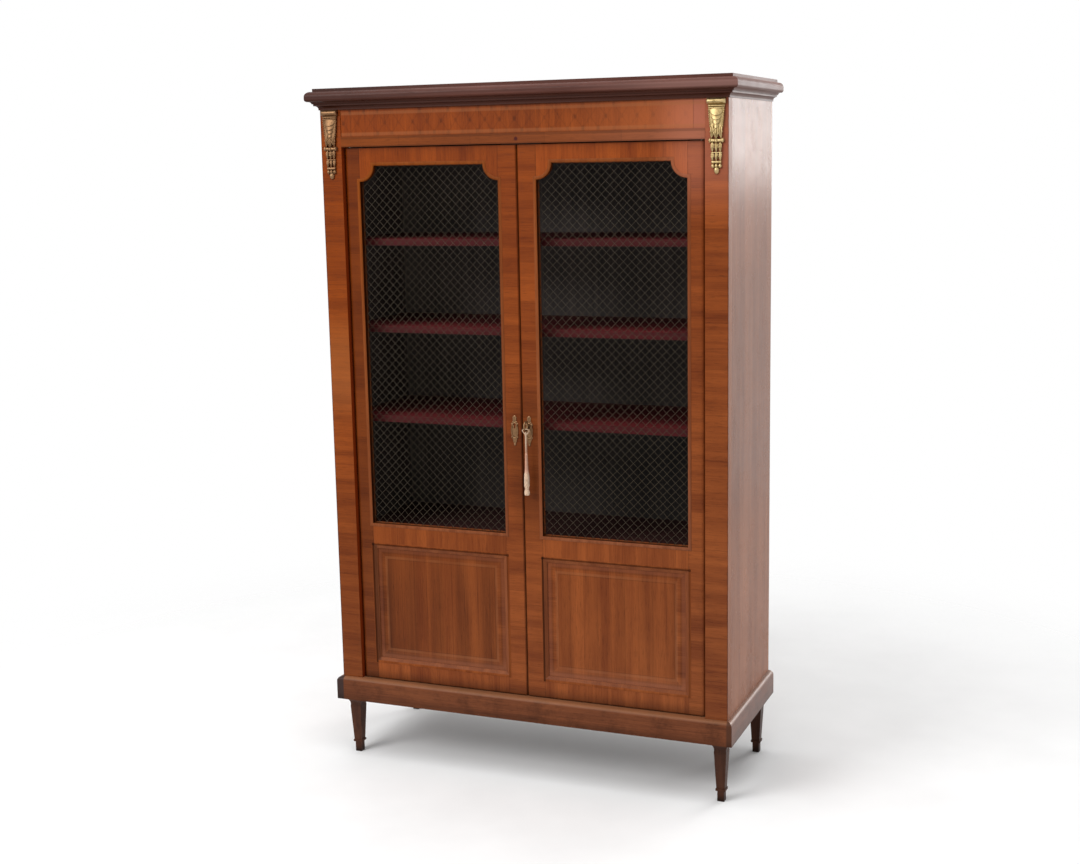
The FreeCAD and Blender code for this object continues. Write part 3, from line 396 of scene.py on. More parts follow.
def lining_light_and_shade(graph, colour):
    """Lining with painted light and shade: paler towards the top and the left, darker towards the foot and
    the right.
    """
    west = graph.fall(graph.x, -0.35, 0.25)
    up = graph.times(graph.ease(graph.z, 0.8, 1.75), 0.65)
    share = graph.math("MULTIPLY_ADD", west, 0.35, up)
    return graph.mix(1.0, colour, graph.mix(share, LINING_SHADE, LINING_LIGHT), "MULTIPLY")


def darker_round_lock(graph, colour):
    """Darker patch around the lock."""
    beside = graph.math("DIVIDE", graph.minus(graph.x, KEY_X + 0.004), 0.10)
    over = graph.math("DIVIDE", graph.minus(graph.z, KEY_Z - 0.09), 0.27)
    away = graph.math("ADD", graph.math("POWER", beside, 2.0), graph.math("POWER", over, 2.0))
    return graph.dim(colour, graph.fall(away, 0.0, 1.0), 0.36)


def veneer(tone):
    """Light and dark of the front's veneer on a board that is paler or darker than most."""
    return [tuple(channel * tone for channel in shade[:3]) + (1.0,) for shade in VENEER]


def dress(node, material):
    """Gives a CAD node its material."""
    mesh = nodes[node].data
    mesh.materials.clear()
    mesh.materials.append(material)


def board_face(node):
    """Limits of a board seen from the front."""
    low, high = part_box(node)
    return (low.x, high.x), (low.z, high.z)


def door_board(node, grain, leaves, seed, limits, tone):
    """Cross-banded veneer on the face of a door's board; its edges and back are plain dark wood."""
    graph = Graph(node)
    colour, height = timber(graph, grain, *veneer(tone), leaves=leaves, seed=seed)
    # Darker edges, partly dirt and partly painted shade where boards meet; darker towards the door's foot
    colour = grime_and_shade(graph, faded_and_lit(graph, colour), graph.inset(*limits)[0])
    colour = graph.dim(colour, graph.fall(graph.z, DOOR_FOOT, DOOR_FOOT + 0.034), 0.42)
    if node.endswith("meeting_stile"):
        colour = darker_round_lock(graph, colour)
    colour = graph.dim(colour, graph.ease(graph.y, DOOR_FRONT + 0.0006, DOOR_FRONT + 0.005), 0.6)
    behind = graph.ease(graph.y, DOOR_FRONT + 0.013, DOOR_FRONT + 0.014)
    dress(node, polish(graph, graph.dim(colour, behind, 0.3), height))


def panel(side, across, seed):
    """Striped field in a cross-banded border, parted by a pale and a dark line."""
    graph = Graph(side + "_panel")
    shaded = side == "left"
    wood = veneer(0.8 if shaded else 0.97)
    field, height = timber(graph, "z", *wood, ribbon=26.0, leaves=("x", PANEL_STRIPE), seed=seed)
    stripe = graph.math("PINGPONG", graph.math("DIVIDE", graph.x, PANEL_STRIPE), 1.0)
    field = graph.dim(field, graph.ease(stripe, 0.3, 0.7), 0.2 if shaded else 0.08)
    band = timber(graph, "x", *wood, leaves=("z", BORDER_LEAF), seed=seed + 2.2)[0]
    nearest, beside, over = graph.inset(across, PANEL_Z)
    upright = graph.below(graph.minus(beside, over), 0.0)
    colour = graph.tint(field, graph.below(nearest, PANEL_BORDER), upright, band)
    colour = graph.dim(colour, graph.line(nearest, 0.0215, 0.006), 0.22)
    colour = graph.dim(colour, graph.line(nearest, 0.0395, 0.0022), 0.25)
    # The left panel, in a darker copy of the veneer, gets painted shade towards its left and painted light
    # towards its top
    if shaded:
        colour = graph.dim(colour, graph.fall(graph.x, across[0] + 0.05, across[0] + 0.14), 0.24)
        colour = graph.tint(colour, graph.ease(graph.z, 0.50, 0.60), 0.2, wood[0])
    colour = graph.tint(colour, graph.below(nearest, 0.020, 0.002), 0.35, srgb(104, 58, 36))
    kept = graph.ease(graph.noise(graph.place, 11.0, detail=2.0), 0.3, 0.6)
    kept = graph.math("MULTIPLY_ADD", kept, 0.16, 0.08)
    colour = graph.tint(colour, graph.line(nearest, PANEL_BORDER, 0.0075), kept, srgb(150, 92, 50))
    # Painted light along the foot, where the lower moulding faces up
    foot = graph.fall(graph.z, PANEL_Z[0], PANEL_Z[0] + 0.05)
    colour = graph.tint(colour, foot, 0.3, srgb(150, 90, 54))
    # Darker along the sunk edges: dirt, and painted shadow of the moulding, deepest at the left and the top
    colour = grime_and_shade(graph, faded_and_lit(graph, colour), nearest, 0.003, 0.4)
    colour = grime_and_shade(graph, colour, graph.minus(graph.x, across[0]), 0.0160, 0.6)
    colour = grime_and_shade(graph, colour, graph.minus(PANEL_Z[1], graph.z), 0.007, 0.6)
    dress(side + "_panel", polish(graph, colour, height, rough=0.4))


def dress_doors():
    """Stiles, rails, panels and beads of both doors."""
    for number, (side, across) in enumerate(OPENINGS.items()):
        for name in ("hinge_stile", "meeting_stile"):
            node = side + "_" + name
            seed = number * 3.37 + len(name) * 0.41
            door_board(node, "x", ("z", STILE_LEAF), seed, board_face(node), STILE_TONES.get(node, 1.0))
        for place, name in enumerate(("top_rail", "middle_rail", "bottom_rail")):
            node = side + "_" + name
            upright = board_face(node)[1]
            if name == "top_rail":
                upright = (OPENING_Z[1] - 2 * CORNER_RADIUS, upright[1])
            seed = number * 2.13 + place * 0.71
            door_board(node, "z", ("x", RAIL_LEAF), seed, (WHOLE_WIDTH, upright), RAIL_TONES.get(node, 1.05))
        panel(side, across, number * 4.9 + 1.3)
        graph = Graph(side + "_beads")
        colour, height = timber(graph, "z", *DOOR_BEAD, seed=number + 3.0)
        # Painted shade in the hollow by the opening's left edge, deeper on the left door
        hollow = graph.below(graph.x, across[0] + 0.009, 0.004)
        colour = graph.dim(colour, hollow, 0.5 if side == "left" else 0.1)
        dress(side + "_beads", polish(graph, colour, height, rough=0.3))


def dress_corner_stiles():
    """Pilasters: cross-banded face, plain sides, outer edge darkened by dirt and painted shade."""
    for number, side in enumerate(("left", "right")):
        graph = Graph(side + "_corner_stile")
        seed = number * 2.7 + 5.9
        colour, height = timber(graph, "x", *veneer(1.0), leaves=("z", PILASTER_LEAF), seed=seed)
        flank = timber(graph, "z", *SIDE_SHADES[side], seed=number + 8.8)[0]
        reach = graph.math("ABSOLUTE", graph.x)
        # Darker towards the foot, and a paler band at mid height on the left pilaster
        colour = graph.dim(colour, graph.fall(graph.z, 0.3, 0.9), 0.22 if side == "left" else 0.05)
        if side == "left":
            paler_band = graph.between(graph.z, (0.96, 1.10), (1.18, 1.32))
            colour = graph.tint(colour, paler_band, 0.3, srgb(178, 112, 66))
        # Painted shade of the rounded outer arris, with dirt
        colour = grime_and_shade(graph, faded_and_lit(graph, colour), graph.minus(SIDE_OUTER, reach), 0.0045, 0.5)
        back = graph.ease(graph.y, FRONT + 0.0012, FRONT + 0.002)
        colour = graph.tint(colour, back, graph.below(reach, STILE_EDGE + 0.0008, 0.0003), srgb(128, 48, 14))
        colour = graph.tint(colour, back, graph.ease(reach, SIDE_OUTER - 0.001, SIDE_OUTER - 0.0006), flank)
        dress(side + "_corner_stile", polish(graph, colour, height))


def lozenges(graph):
    """Lines of the frieze's lozenges, and dots where they cross."""
    across = graph.math("DIVIDE", graph.x, LOZENGE_WIDTH)
    middle = (FASCIA_TOP + CORNICE_FOOT) / 2
    up = graph.math("DIVIDE", graph.minus(graph.z, middle), LOZENGE_HEIGHT)
    lines, dots = 0.0, 1.0
    for sign in ("ADD", "SUBTRACT"):
        part = graph.math("FRACT", graph.math("ADD", graph.math(sign, across, up), 60.5))
        edge = graph.math("ABSOLUTE", graph.minus(part, 0.5))
        lines = graph.math("MAXIMUM", lines, graph.below(edge, 0.04, 0.03))
        dots = graph.times(dots, graph.below(edge, 0.14, 0.09))
    worn = graph.ease(graph.noise(graph.place, 26.0, detail=2.0), 0.3, 0.65)
    return lines, graph.times(dots, worn)


def dress_frieze():
    """Lozenge veneer between two end bands, over a plain fascia."""
    graph = Graph("frieze_rail")
    colour, height = timber(graph, "z", *veneer(1.02), seed=5.3)
    lines, dots = lozenges(graph)
    colour = graph.dim(graph.dim(colour, lines, 0.14), dots, 0.36)
    # Painted glare: paler and pinker towards the right, on the field and on the fascia below
    paler = graph.ease(graph.x, 0.1, 0.5)
    colour = faded_and_lit(graph, graph.tint(colour, paler, 0.42, srgb(192, 112, 74)))
    # Painted glare on the right end band
    end = graph.ease(graph.x, FRIEZE_END - 0.0005, FRIEZE_END + 0.0005)
    colour = graph.tint(colour, end, 0.5, srgb(160, 94, 76))
    colour = graph.dim(colour, graph.line(graph.math("ABSOLUTE", graph.x), FRIEZE_END, 0.0022), 0.3)
    fascia = timber(graph, "x", *FASCIA, leaves=("x", FASCIA_LEAF), seed=1.1)[0]
    fascia = graph.tint(faded_and_lit(graph, fascia), paler, 0.26, srgb(150, 98, 80))
    # Pale lines near the field's foot and top; the upper one is a painted highlight under the cornice
    for level, width in ((FASCIA_TOP + 0.0065, 0.009), (CORNICE_FOOT - 0.011, 0.008)):
        colour = graph.tint(colour, graph.line(graph.z, level, width), 0.32, srgb(158, 98, 60))
    colour = graph.mix(graph.below(graph.z, FASCIA_TOP + 0.0003), colour, fascia)
    edges = ((FASCIA_TOP - 0.003, 0.007), (FRIEZE_FOOT + 0.001, 0.005), (CORNICE_FOOT - 0.001, 0.006))
    for level, width in edges:
        colour = graph.dim(colour, graph.line(graph.z, level, width), 0.3)
    beside = graph.math("POWER", graph.minus(graph.x, 0.004), 2.0)
    over = graph.math("POWER", graph.minus(graph.z, FRIEZE_FOOT + 0.012), 2.0)
    knot = graph.math("SQRT", graph.math("ADD", beside, over))
    colour = graph.mix(graph.below(knot, 0.005, 0.002), colour, srgb(66, 22, 18))
    behind = graph.ease(graph.y, FRONT + 0.02, FRONT + 0.021)
    dress("frieze_rail", polish(graph, graph.dim(colour, behind, 0.75), height))


def dress_cornice():
    """Dark moulded wood with painted shadow under its nose; the right return is pale, a painted reflection of
    glare like the side below it.
    """
    front = {"rough": 0.36, "specular": 0.1}
    left = {"rough": 0.34, "specular": 0.2, "grain": 0.00004}
    right = {"rough": 0.42, "specular": 0.07, "grain": 0.00003}
    lengths = (("cornice_front", "x", CORNICE, 0.5, front), ("left_cornice", "y", CORNICE, 0.5, left),
               ("right_cornice", "y", CORNICE_IN_GLARE, 0.25, right))
    for node, grain, shades, shadow, gloss in lengths:
        graph = Graph(node)
        colour, height = timber(graph, grain, *shades, ribbon=40.0, seed=2.2)
        # Painted shadow under the nose, tinted redder on the front
        under = graph.below(graph.z, CORNICE_FOOT + 0.024, 0.006)
        if node == "cornice_front":
            # Darker towards the left, with a painted sheen on the torus towards the right
            colour = graph.dim(colour, graph.fall(graph.x, -0.60, 0.05), 0.5)
            east = graph.times(graph.ease(graph.x, 0.12, 0.56), 0.36)
            torus = graph.minus(graph.below(graph.z, CORNICE_TOP - 0.016, 0.003), under)
            colour = graph.tint(colour, east, torus, srgb(156, 118, 110))
            colour = graph.tint(colour, under, 0.35, srgb(112, 54, 30))
        dress(node, polish(graph, graph.dim(colour, under, shadow), height, **gloss))


def dress_plinth():
    """Stained wood with a painted highlight along its upper edge and a dark foot."""
    lengths = (("plinth_front", "x", 0.1), ("left_plinth", "y", 0.4), ("right_plinth", "y", 0.4))
    for node, grain, specular in lengths:
        graph = Graph(node)
        colour, height = timber(graph, grain, *PLINTH, ribbon=44.0, seed=7.7)
        stain = graph.ease(graph.noise(graph.place, 14.0, detail=5.0, rough=0.7), 0.45, 0.7)
        colour = graph.dim(colour, stain, 0.35)
        # Painted highlight along the rounded upper edge
        worn = graph.ease(graph.z, PLINTH_TOP - 0.009, PLINTH_TOP - 0.003)
        colour = graph.tint(colour, worn, 0.28, srgb(176, 126, 90))
        if node == "plinth_front":
            colour = graph.mix(graph.below(graph.x, -0.567, 0.002), colour, srgb(58, 42, 38))
            colour = graph.mix(graph.ease(graph.x, 0.570, 0.576), colour, srgb(78, 46, 30))
        colour = graph.dim(colour, graph.below(graph.z, PLINTH_FOOT + 0.012, 0.012), 0.4)
        dress(node, polish(graph, colour, height, rough=0.36, specular=specular))


def dress_feet():
    """Dark scuffed feet with black tips."""
    for node in ("left_front_foot", "left_back_foot", "right_front_foot", "right_back_foot"):
        graph = Graph(node)
        colour, height = timber(graph, "z", *FOOT, ribbon=60.0, seed=9.1)
        scuff = graph.ease(graph.noise(graph.place, 40.0, detail=4.0, rough=0.7), 0.5, 0.75)
        colour = graph.dim(colour, scuff, 0.3)
        colour = graph.dim(colour, graph.below(graph.z, 0.014, 0.012), 0.7)
        # Painted shade: the right feet darker
        if node.startswith("right"):
            colour = graph.mix(0.3, colour, BLACK)
        dress(node, polish(graph, colour, height, rough=0.38, specular=0.12))


def dress_sides():
    """Veneered outside, dark lining inside."""
    for number, side in enumerate(("left", "right")):
        graph = Graph(side + "_side")
        colour, height = timber(graph, "z", *SIDE_SHADES[side], ribbon=22.0, seed=number * 1.9 + 6.1)
        # Painted shade: a darker band at mid height
        colour = graph.dim(colour, graph.between(graph.z, (0.66, 0.90), (1.32, 1.54)), 0.15)
        outside = graph.ease(graph.math("ABSOLUTE", graph.x), SIDE_INNER + 0.014, SIDE_INNER + 0.016)
        inside = timber(graph, "z", *SIDE_LINING, leaves=("y", LINING_PLANK), seed=number + 2.6)[0]
        rough = graph.math("MULTIPLY_ADD", outside, -0.36, 0.62)
        colour = graph.mix(outside, lining_light_and_shade(graph, inside), colour)
        dress(side + "_side", polish(graph, colour, height, rough, SIDE_GLOSS[side], grain=0.00003))


def dress_boards():
    """Back, floor and top of the carcass, stops and pegs; the back is lined inside."""
    back_planks = ("x", BACK_BOARD_WIDTH)
    boards = (("back_boards", "z", CARCASS, back_planks), ("bottom_board", "x", LINING, None),
              ("top_board", "x", CARCASS, ("y", TOP_PLANK)), ("plinth_back", "x", CARCASS, None),
              ("head_stops", "x", LINING, None), ("shelf_pegs", "x", LINING, None))
    for node, grain, shades, planks in boards:
        graph = Graph(node)
        colour, height = timber(graph, grain, *shades, leaves=planks, seed=4.0)
        if node == "back_boards":
            joint = graph.math("ABSOLUTE", graph.x)
            colour = graph.dim(colour, graph.line(joint, BACK_BOARD_WIDTH / 2, 0.003), 0.75)
            outer = graph.ease(graph.y, BACK_FACE + 0.006, BACK_FACE + 0.008)
            inside = timber(graph, grain, *LINING, leaves=planks, seed=7.0)[0]
            colour = graph.mix(outer, lining_light_and_shade(graph, inside), colour)
        dress(node, polish(graph, colour, height, rough=0.6, specular=0.2))


def dress_shelves():
    """Red shelves with painted shade: a darker front edge, and darker towards the back."""
    for number, name in enumerate(("upper", "middle", "lower", "base")):
        graph = Graph(name + "_shelf")
        colour, height = timber(graph, "x", *SHELF, seed=number * 1.1)
        shelf_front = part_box(name + "_shelf")[0].y
        # Painted shade on the front edge and towards the back
        colour = graph.dim(colour, graph.below(graph.y, shelf_front + 0.003, 0.002), 0.5)
        colour = graph.dim(colour, graph.ease(graph.y, shelf_front, shelf_front + 0.16), 0.55)
        if name == "base":
            colour = graph.mix(0.6, colour, LINING[1])
        dress(name + "_shelf", polish(graph, colour, height, rough=0.5))


def gilt(name, tint, worn, rough=0.26):
    """Old gilding: bright on the high parts, brown in the hollows."""
    graph = Graph(name)
    tarnish = graph.noise(graph.place, 130.0, detail=5.0, rough=0.65)
    high = graph.ease(graph.add("NewGeometry").outputs["Pointiness"], 0.44, 0.55)
    blend = graph.times(high, graph.ease(tarnish, 0.2, 0.55))
    graph.set(Base_Color=graph.mix(blend, worn, tint), Metallic=1.0,
              Roughness=graph.math("MULTIPLY_ADD", tarnish, 0.3, rough - 0.05))
    graph.bump(graph.noise(graph.place, 700.0, detail=2.0), 0.0002, 0.4)
    return graph.material


def worn_steel():
    """Dark steel of the lock and bolts."""
    graph = Graph("worn_steel")
    stain = graph.noise(graph.place, 90.0, detail=5.0, rough=0.7)
    scratch = graph.noise(graph.stretch((900.0, 900.0, 30.0)), detail=2.0)
    colour = graph.ramp(stain, (0.3, srgb(70, 58, 50)), (0.55, srgb(128, 124, 118)),
                        (0.8, srgb(164, 160, 152)))
    graph.set(Base_Color=colour, Metallic=1.0, Roughness=graph.math("MULTIPLY_ADD", stain, 0.3, 0.3))
    graph.bump(scratch, 0.00008, 0.5)
    return graph.material


def dress_metal(gold):
    """Steel fittings, pins of the bronze drops and the key."""
    steel = worn_steel()
    for node in ("lock_case", "lock_bolt", "lock_strike", "bolt_guides", "bolt_keepers", "upper_bolt",
                 "lower_bolt", "back_screws", "pivot_sockets", "left_pivots", "right_pivots"):
        dress(node, steel)
    dress("drop_pins", gold)
    dress("key", gilt("key_bronze", srgb(150, 118, 84), srgb(84, 62, 42), rough=0.42))


def build_mesh(name, points, faces):
    """Smooth mesh with its faces turned outwards."""
    mesh = bpy.data.meshes.new(name)
    mesh.from_pydata(points, [], faces)
    shape = bmesh.new()
    shape.from_mesh(mesh)
    bmesh.ops.recalc_face_normals(shape, faces=shape.faces)
    for side in shape.faces:
        side.smooth = True
    shape.to_mesh(mesh)
    shape.free()
    return mesh


def between_rings(first, second, count):
    """Faces that join two closed rings of points, given by the number of their first point."""
    pairs = [(step, (step + 1) % count) for step in range(count)]
    return [(first + here, first + after, second + after, second + here) for here, after in pairs]


def linked(name, data):
    """New object in the scene."""
    thing = bpy.data.objects.new(name, data)
    bpy.context.scene.collection.objects.link(thing)
    return thing


def piece(name, mesh, material, body, slot, *replaced):
    """New piece that moves with a body, and hides the nodes it replaces."""
    thing = linked(name, mesh)
    mesh.materials.append(material)
    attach(thing, body)
    if replaced:
        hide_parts(*replaced)
    return thing


def arc(centre, radius, start, end, steps=14):
    """Points of an arc seen from the front, angles in degrees."""
    angles = [math.radians(start + (end - start) * step / steps) for step in range(steps + 1)]
    return [(centre[0] + radius * math.cos(a), centre[1] + radius * math.sin(a)) for a in angles]


def opening_outline(x0, x1):
    """Outline of a mesh opening with its two re-entrant upper corners, anticlockwise."""
    z0, z1 = OPENING_Z
    return ([(x0, z0), (x1, z0)] + arc((x1, z1), CORNER_RADIUS, 270, 180)
            + arc((x0, z1), CORNER_RADIUS, 360, 270))


def bead_profile(half, rise):
    """Half-round section of a bead, as inset and height, with its root in the board."""
    turns = [math.pi * step / BEAD_STEPS for step in range(BEAD_STEPS + 1)]
    crown = [(-half - half * math.cos(turn), rise * math.sin(turn)) for turn in turns]
    return crown + [(0.0, -BEAD_ROOT), (-2 * half, -BEAD_ROOT)]


def swept(name, outline, profile, y):
    """Ring swept along a closed outline; profile gives inset and height over the face."""
    points, faces = [], []
    count, wide = len(outline), len(profile)
    for number, here in enumerate(outline):
        following = (number + 1) % count
        before = Vector(here) - Vector(outline[number - 1])
        after = Vector(outline[following]) - Vector(here)
        first = Vector((-before.y, before.x)).normalized()
        second = Vector((-after.y, after.x)).normalized()
        turn = (first + second) / (1 + first.dot(second))
        for inset, rise in profile:
            points.append((here[0] + turn.x * inset, y - rise, here[1] + turn.y * inset))
        faces += between_rings(number * wide, following * wide, wide)
    return build_mesh(name, points, faces)


def opening_beads():
    """Low bead moulded on the edge of each mesh opening and each panel."""
    z0, z1 = PANEL_Z
    for side, (x0, x1) in OPENINGS.items():
        panel_outline = [(x0, z0), (x1, z0), (x1, z1), (x0, z1)]
        beads = (("_opening_bead", opening_outline(x0, x1), bead_profile(0.0045, 0.0016), OPENING_BEAD),
                 ("_panel_bead", panel_outline, bead_profile(0.0035, 0.0009), veneer(0.95)))
        for name, outline, profile, shades in beads:
            mesh = swept(side + name, outline, profile, DOOR_FRONT)
            graph = Graph(side + "_moulded" + name)
            colour, height = timber(graph, "z", *shades, ribbon=50.0, seed=4.4)
            colour = faded_and_lit(graph, colour)
            if name == "_panel_bead":
                # Painted shade on the bead's inner side, strongest at the left and the top
                for place, edge, depth in ((graph.x, x0 - 0.002, 0.75), (graph.x, x1 + 0.002, 0.3),
                                           (graph.z, z1 + 0.002, 0.6)):
                    colour = graph.dim(colour, graph.line(place, edge, 0.006), depth)
            material = polish(graph, colour, height, rough=0.45, specular=0.05)
            piece(side + name, mesh, material, side + "_door", "bead_wood")


def wire_run(slope, fixed, steps, x_limits, z_limits):
    """Points along one wire of the weave, with None where it is outside the limits."""
    for step in steps:
        a, b = (fixed, step / WIRE_PARTS) if slope == 1 else (step / WIRE_PARTS, fixed)
        x, z = (a + b) * WIRE_PITCH / 2, (a - b) * WIRE_PITCH / 2
        if x_limits[0] <= x <= x_limits[1] and z_limits[0] <= z <= z_limits[1]:
            yield x, MESH_Y + slope * WIRE_WAVE * math.cos(math.pi * (a + b)), z
        else:
            yield None


def wire_grilles():
    """Woven brass wire, set on the slant, in place of each flat net."""
    wire = gilt("brass_wire", srgb(78, 70, 58), srgb(50, 43, 35), rough=0.5)
    turns = [2 * math.pi * corner / WIRE_CORNERS for corner in range(WIRE_CORNERS)]
    z_limits = OPENING_Z[0] - GRILLE_OVERLAP, OPENING_Z[1] + GRILLE_OVERLAP
    for side, opening in OPENINGS.items():
        x_limits = opening[0] - GRILLE_OVERLAP, opening[1] + GRILLE_OVERLAP
        reach = range(int((x_limits[0] - z_limits[1]) / WIRE_PITCH) - 2,
                      int((x_limits[1] + z_limits[1]) / WIRE_PITCH) + 2)
        steps = range(reach.start * WIRE_PARTS, reach.stop * WIRE_PARTS)
        points, faces = [], []
        for slope in (1, -1):
            normal = Vector((1, 0, slope)).normalized()
            for fixed in reach:
                last = None
                for spot in wire_run(slope, fixed, steps, x_limits, z_limits):
                    if spot is None:
                        last = None
                        continue
                    x, y, z = spot
                    start = len(points)
                    for turn in turns:
                        sideways = WIRE_RADIUS * math.cos(turn)
                        points.append((x + normal.x * sideways, y + WIRE_RADIUS * math.sin(turn),
                                       z + normal.z * sideways))
                    if last is not None:
                        faces += between_rings(last, start, WIRE_CORNERS)
                    last = start
        mesh = build_mesh(side + "_grille", points, faces)
        piece(side + "_grille", mesh, wire, side + "_door", "brass_wire", side + "_mesh")


def bar(middle, level, wide, tall, high, square=6.0):
    """Rounded bar of a relief: flat along its length, half-round across it."""
    def form(across, down):
        a = np.clip(1 - np.abs((across - middle) / wide) ** square, 0, 1) ** (1 / square)
        b = np.sqrt(np.clip(1 - ((down - level) / tall) ** 2, 0, 1))
        return high * a * b
    return form


def ball(middle, level, wide, tall, high):
    """Half ellipsoid of a relief."""
    def form(across, down):
        away = ((across - middle) / wide) ** 2
        return high * np.sqrt(np.clip(1 - away - ((down - level) / tall) ** 2, 0, 1))
    return form


def scale(level, wide, tall, low, high):
    """Round scale that rises towards its lower edge, over the next one."""
    def form(across, down):
        inside = ((across / wide) ** 2 + ((down - level) / tall) ** 2) < 1
        crown = 1 - 0.35 * (across / wide) ** 2
        along = np.clip((down - level + tall) / (2 * tall), 0, 1)
        return np.where(inside, (low + (high - low) * along) * crown, 0)
    return form


def leaf(middle, level, wide, tall, high, lean=0.0):
    """Pointed leaf hanging from a level, with a rib and notched edges."""
    def form(across, down):
        along = np.clip((down - level) / tall, 0, 1)
        centre = middle + lean * along ** 1.5
        half = wide * np.sin(np.pi * along ** 0.62) * (1 + 0.12 * np.cos(along * 26)) + 1e-6
        off = np.abs(across - centre) / half
        body = np.sqrt(np.clip(1 - off ** 2, 0, 1)) * (0.72 + 0.28 * np.cos(off * 9))
        inside = (down > level) & (down < level + tall) & (off < 1)
        return np.where(inside, high * (0.65 + 0.35 * np.sin(np.pi * along)) * (0.55 + 0.45 * body), 0)
    return form


def tapered(top, bottom, wide_top, wide_bottom, high):
    """Ground plate of a relief, narrowing downwards."""
    def form(across, down):
        along = np.clip((down - top) / (bottom - top), 0, 1)
        half = wide_top + (wide_bottom - wide_top) * along
        inside = (down >= top) & (down <= bottom)
        return np.where(inside, high * np.clip(1 - np.abs(across / half) ** 8, 0, 1) ** 0.125, 0)
    return form


def relief(name, forms, half_width, length, place, step=0.8, holes=()):
    """Cast relief: the highest of its forms over a flat back; place is its top on the wall."""
    across = np.arange(-half_width, half_width + step / 2, step)
    down = np.arange(-step, length + 1.5 * step, step)
    grid_u, grid_w = np.meshgrid(across, down)
    rise = np.max([form(grid_u, grid_w) for form in forms], axis=0)
    for hole in holes:
        rise = np.where(hole(grid_u, grid_w), 0, rise)
    shown = rise > RELIEF_FLOOR
    cells = shown[:-1, :-1] & shown[1:, :-1] & shown[:-1, 1:] & shown[1:, 1:]
    points, faces, index = [], [], {}

    def vertex(row, column, back):
        key = (row, column, back)
        if key not in index:
            index[key] = len(points)
            depth = 0.0 if back else rise[row, column]
            points.append((place[0] + grid_u[row, column] / MM_PER_METRE, place[1] - depth / MM_PER_METRE,
                           place[2] - grid_w[row, column] / MM_PER_METRE))
        return index[key]

    rows, columns = cells.shape
    for row, column in zip(*np.nonzero(cells)):
        corners = [(row, column), (row, column + 1), (row + 1, column + 1), (row + 1, column)]
        faces.append([vertex(r, c, False) for r, c in corners])
        faces.append([vertex(r, c, True) for r, c in reversed(corners)])
        for number, (r, c) in enumerate(((-1, 0), (0, 1), (1, 0), (0, -1))):
            next_row, next_column = row + r, column + c
            if 0 <= next_row < rows and 0 <= next_column < columns and cells[next_row, next_column]:
                continue
            first, second = corners[number], corners[(number + 1) % 4]
            faces.append([vertex(*first, True), vertex(*second, True),
                          vertex(*second, False), vertex(*first, False)])
    return build_mesh(name, points, faces)


def drop_forms():
    """Bronze drop: roll, ribs, scales, acanthus, tied band, pendants and tip."""
    forms = [tapered(12, 74, 22, 16.5, 5.5), bar(0, 8, 24.6, 8.5, 14.6), bar(0, 19.5, 21.8, 2.3, 9.5),
             bar(0, 24.2, 21.2, 2.2, 9.0)]
    for number, level in enumerate((33.0, 44.5, 55.5, 66.0)):
        forms.append(scale(level, 15.5 - 2.9 * number, 9.8 - 0.6 * number, 6.5, 13.0 - 0.6 * number))
    for side in (-1, 1):
        forms += [ball(side * (19.6 - 0.5 * number), 30 + 5.6 * number, 2.3, 2.8, 8.2) for number in range(8)]
        forms.append(leaf(side * 8.0, 64, 7.2, 38, 9.8, side * 5.0))
        forms += [ball(side * 16.0, 104, 4.6, 7.0, 11.0), ball(side * 9.2, 166, 5.0, 6.2, 7.8)]
    forms += [leaf(0, 70, 7.5, 34, 10.5), bar(0, 104, 19.6, 5.2, 9.0), ball(0, 105, 5.5, 6.5, 12.0)]
    for across in (-10.0, 0.0, 10.0):
        forms += [leaf(across, 108, 4.6, 27, 9.0), leaf(across, 133, 4.2, 23, 8.2)]
    forms += [bar(0, 133.5, 14.6, 2.2, 6.5), bar(0, 156.5, 13.0, 4.2, 8.6), ball(0, 166, 4.6, 7.0, 8.6),
              ball(0, 176.5, 7.4, 10.0, 7.6)]
    return forms


def wall_place(node):
    """Middle of a node's upper edge, on the wall behind it."""
    low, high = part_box(node)
    return (low.x + high.x) / 2, high.y, high.z


def bronze_drops(gold, dull_and_shaded_gold):
    """Cast drops on the corner stiles; the left one in a darker copy of the gilt, as painted shade."""
    forms = drop_forms()
    for side, metal in (("left", dull_and_shaded_gold), ("right", gold)):
        place = wall_place(side + "_bronze_drop")
        mesh = relief(side + "_ormolu_drop", forms, DROP_HALF_WIDTH, DROP_LENGTH, place)
        piece(side + "_ormolu_drop", mesh, metal, "carcass", "gilt_bronze", side + "_bronze_drop")


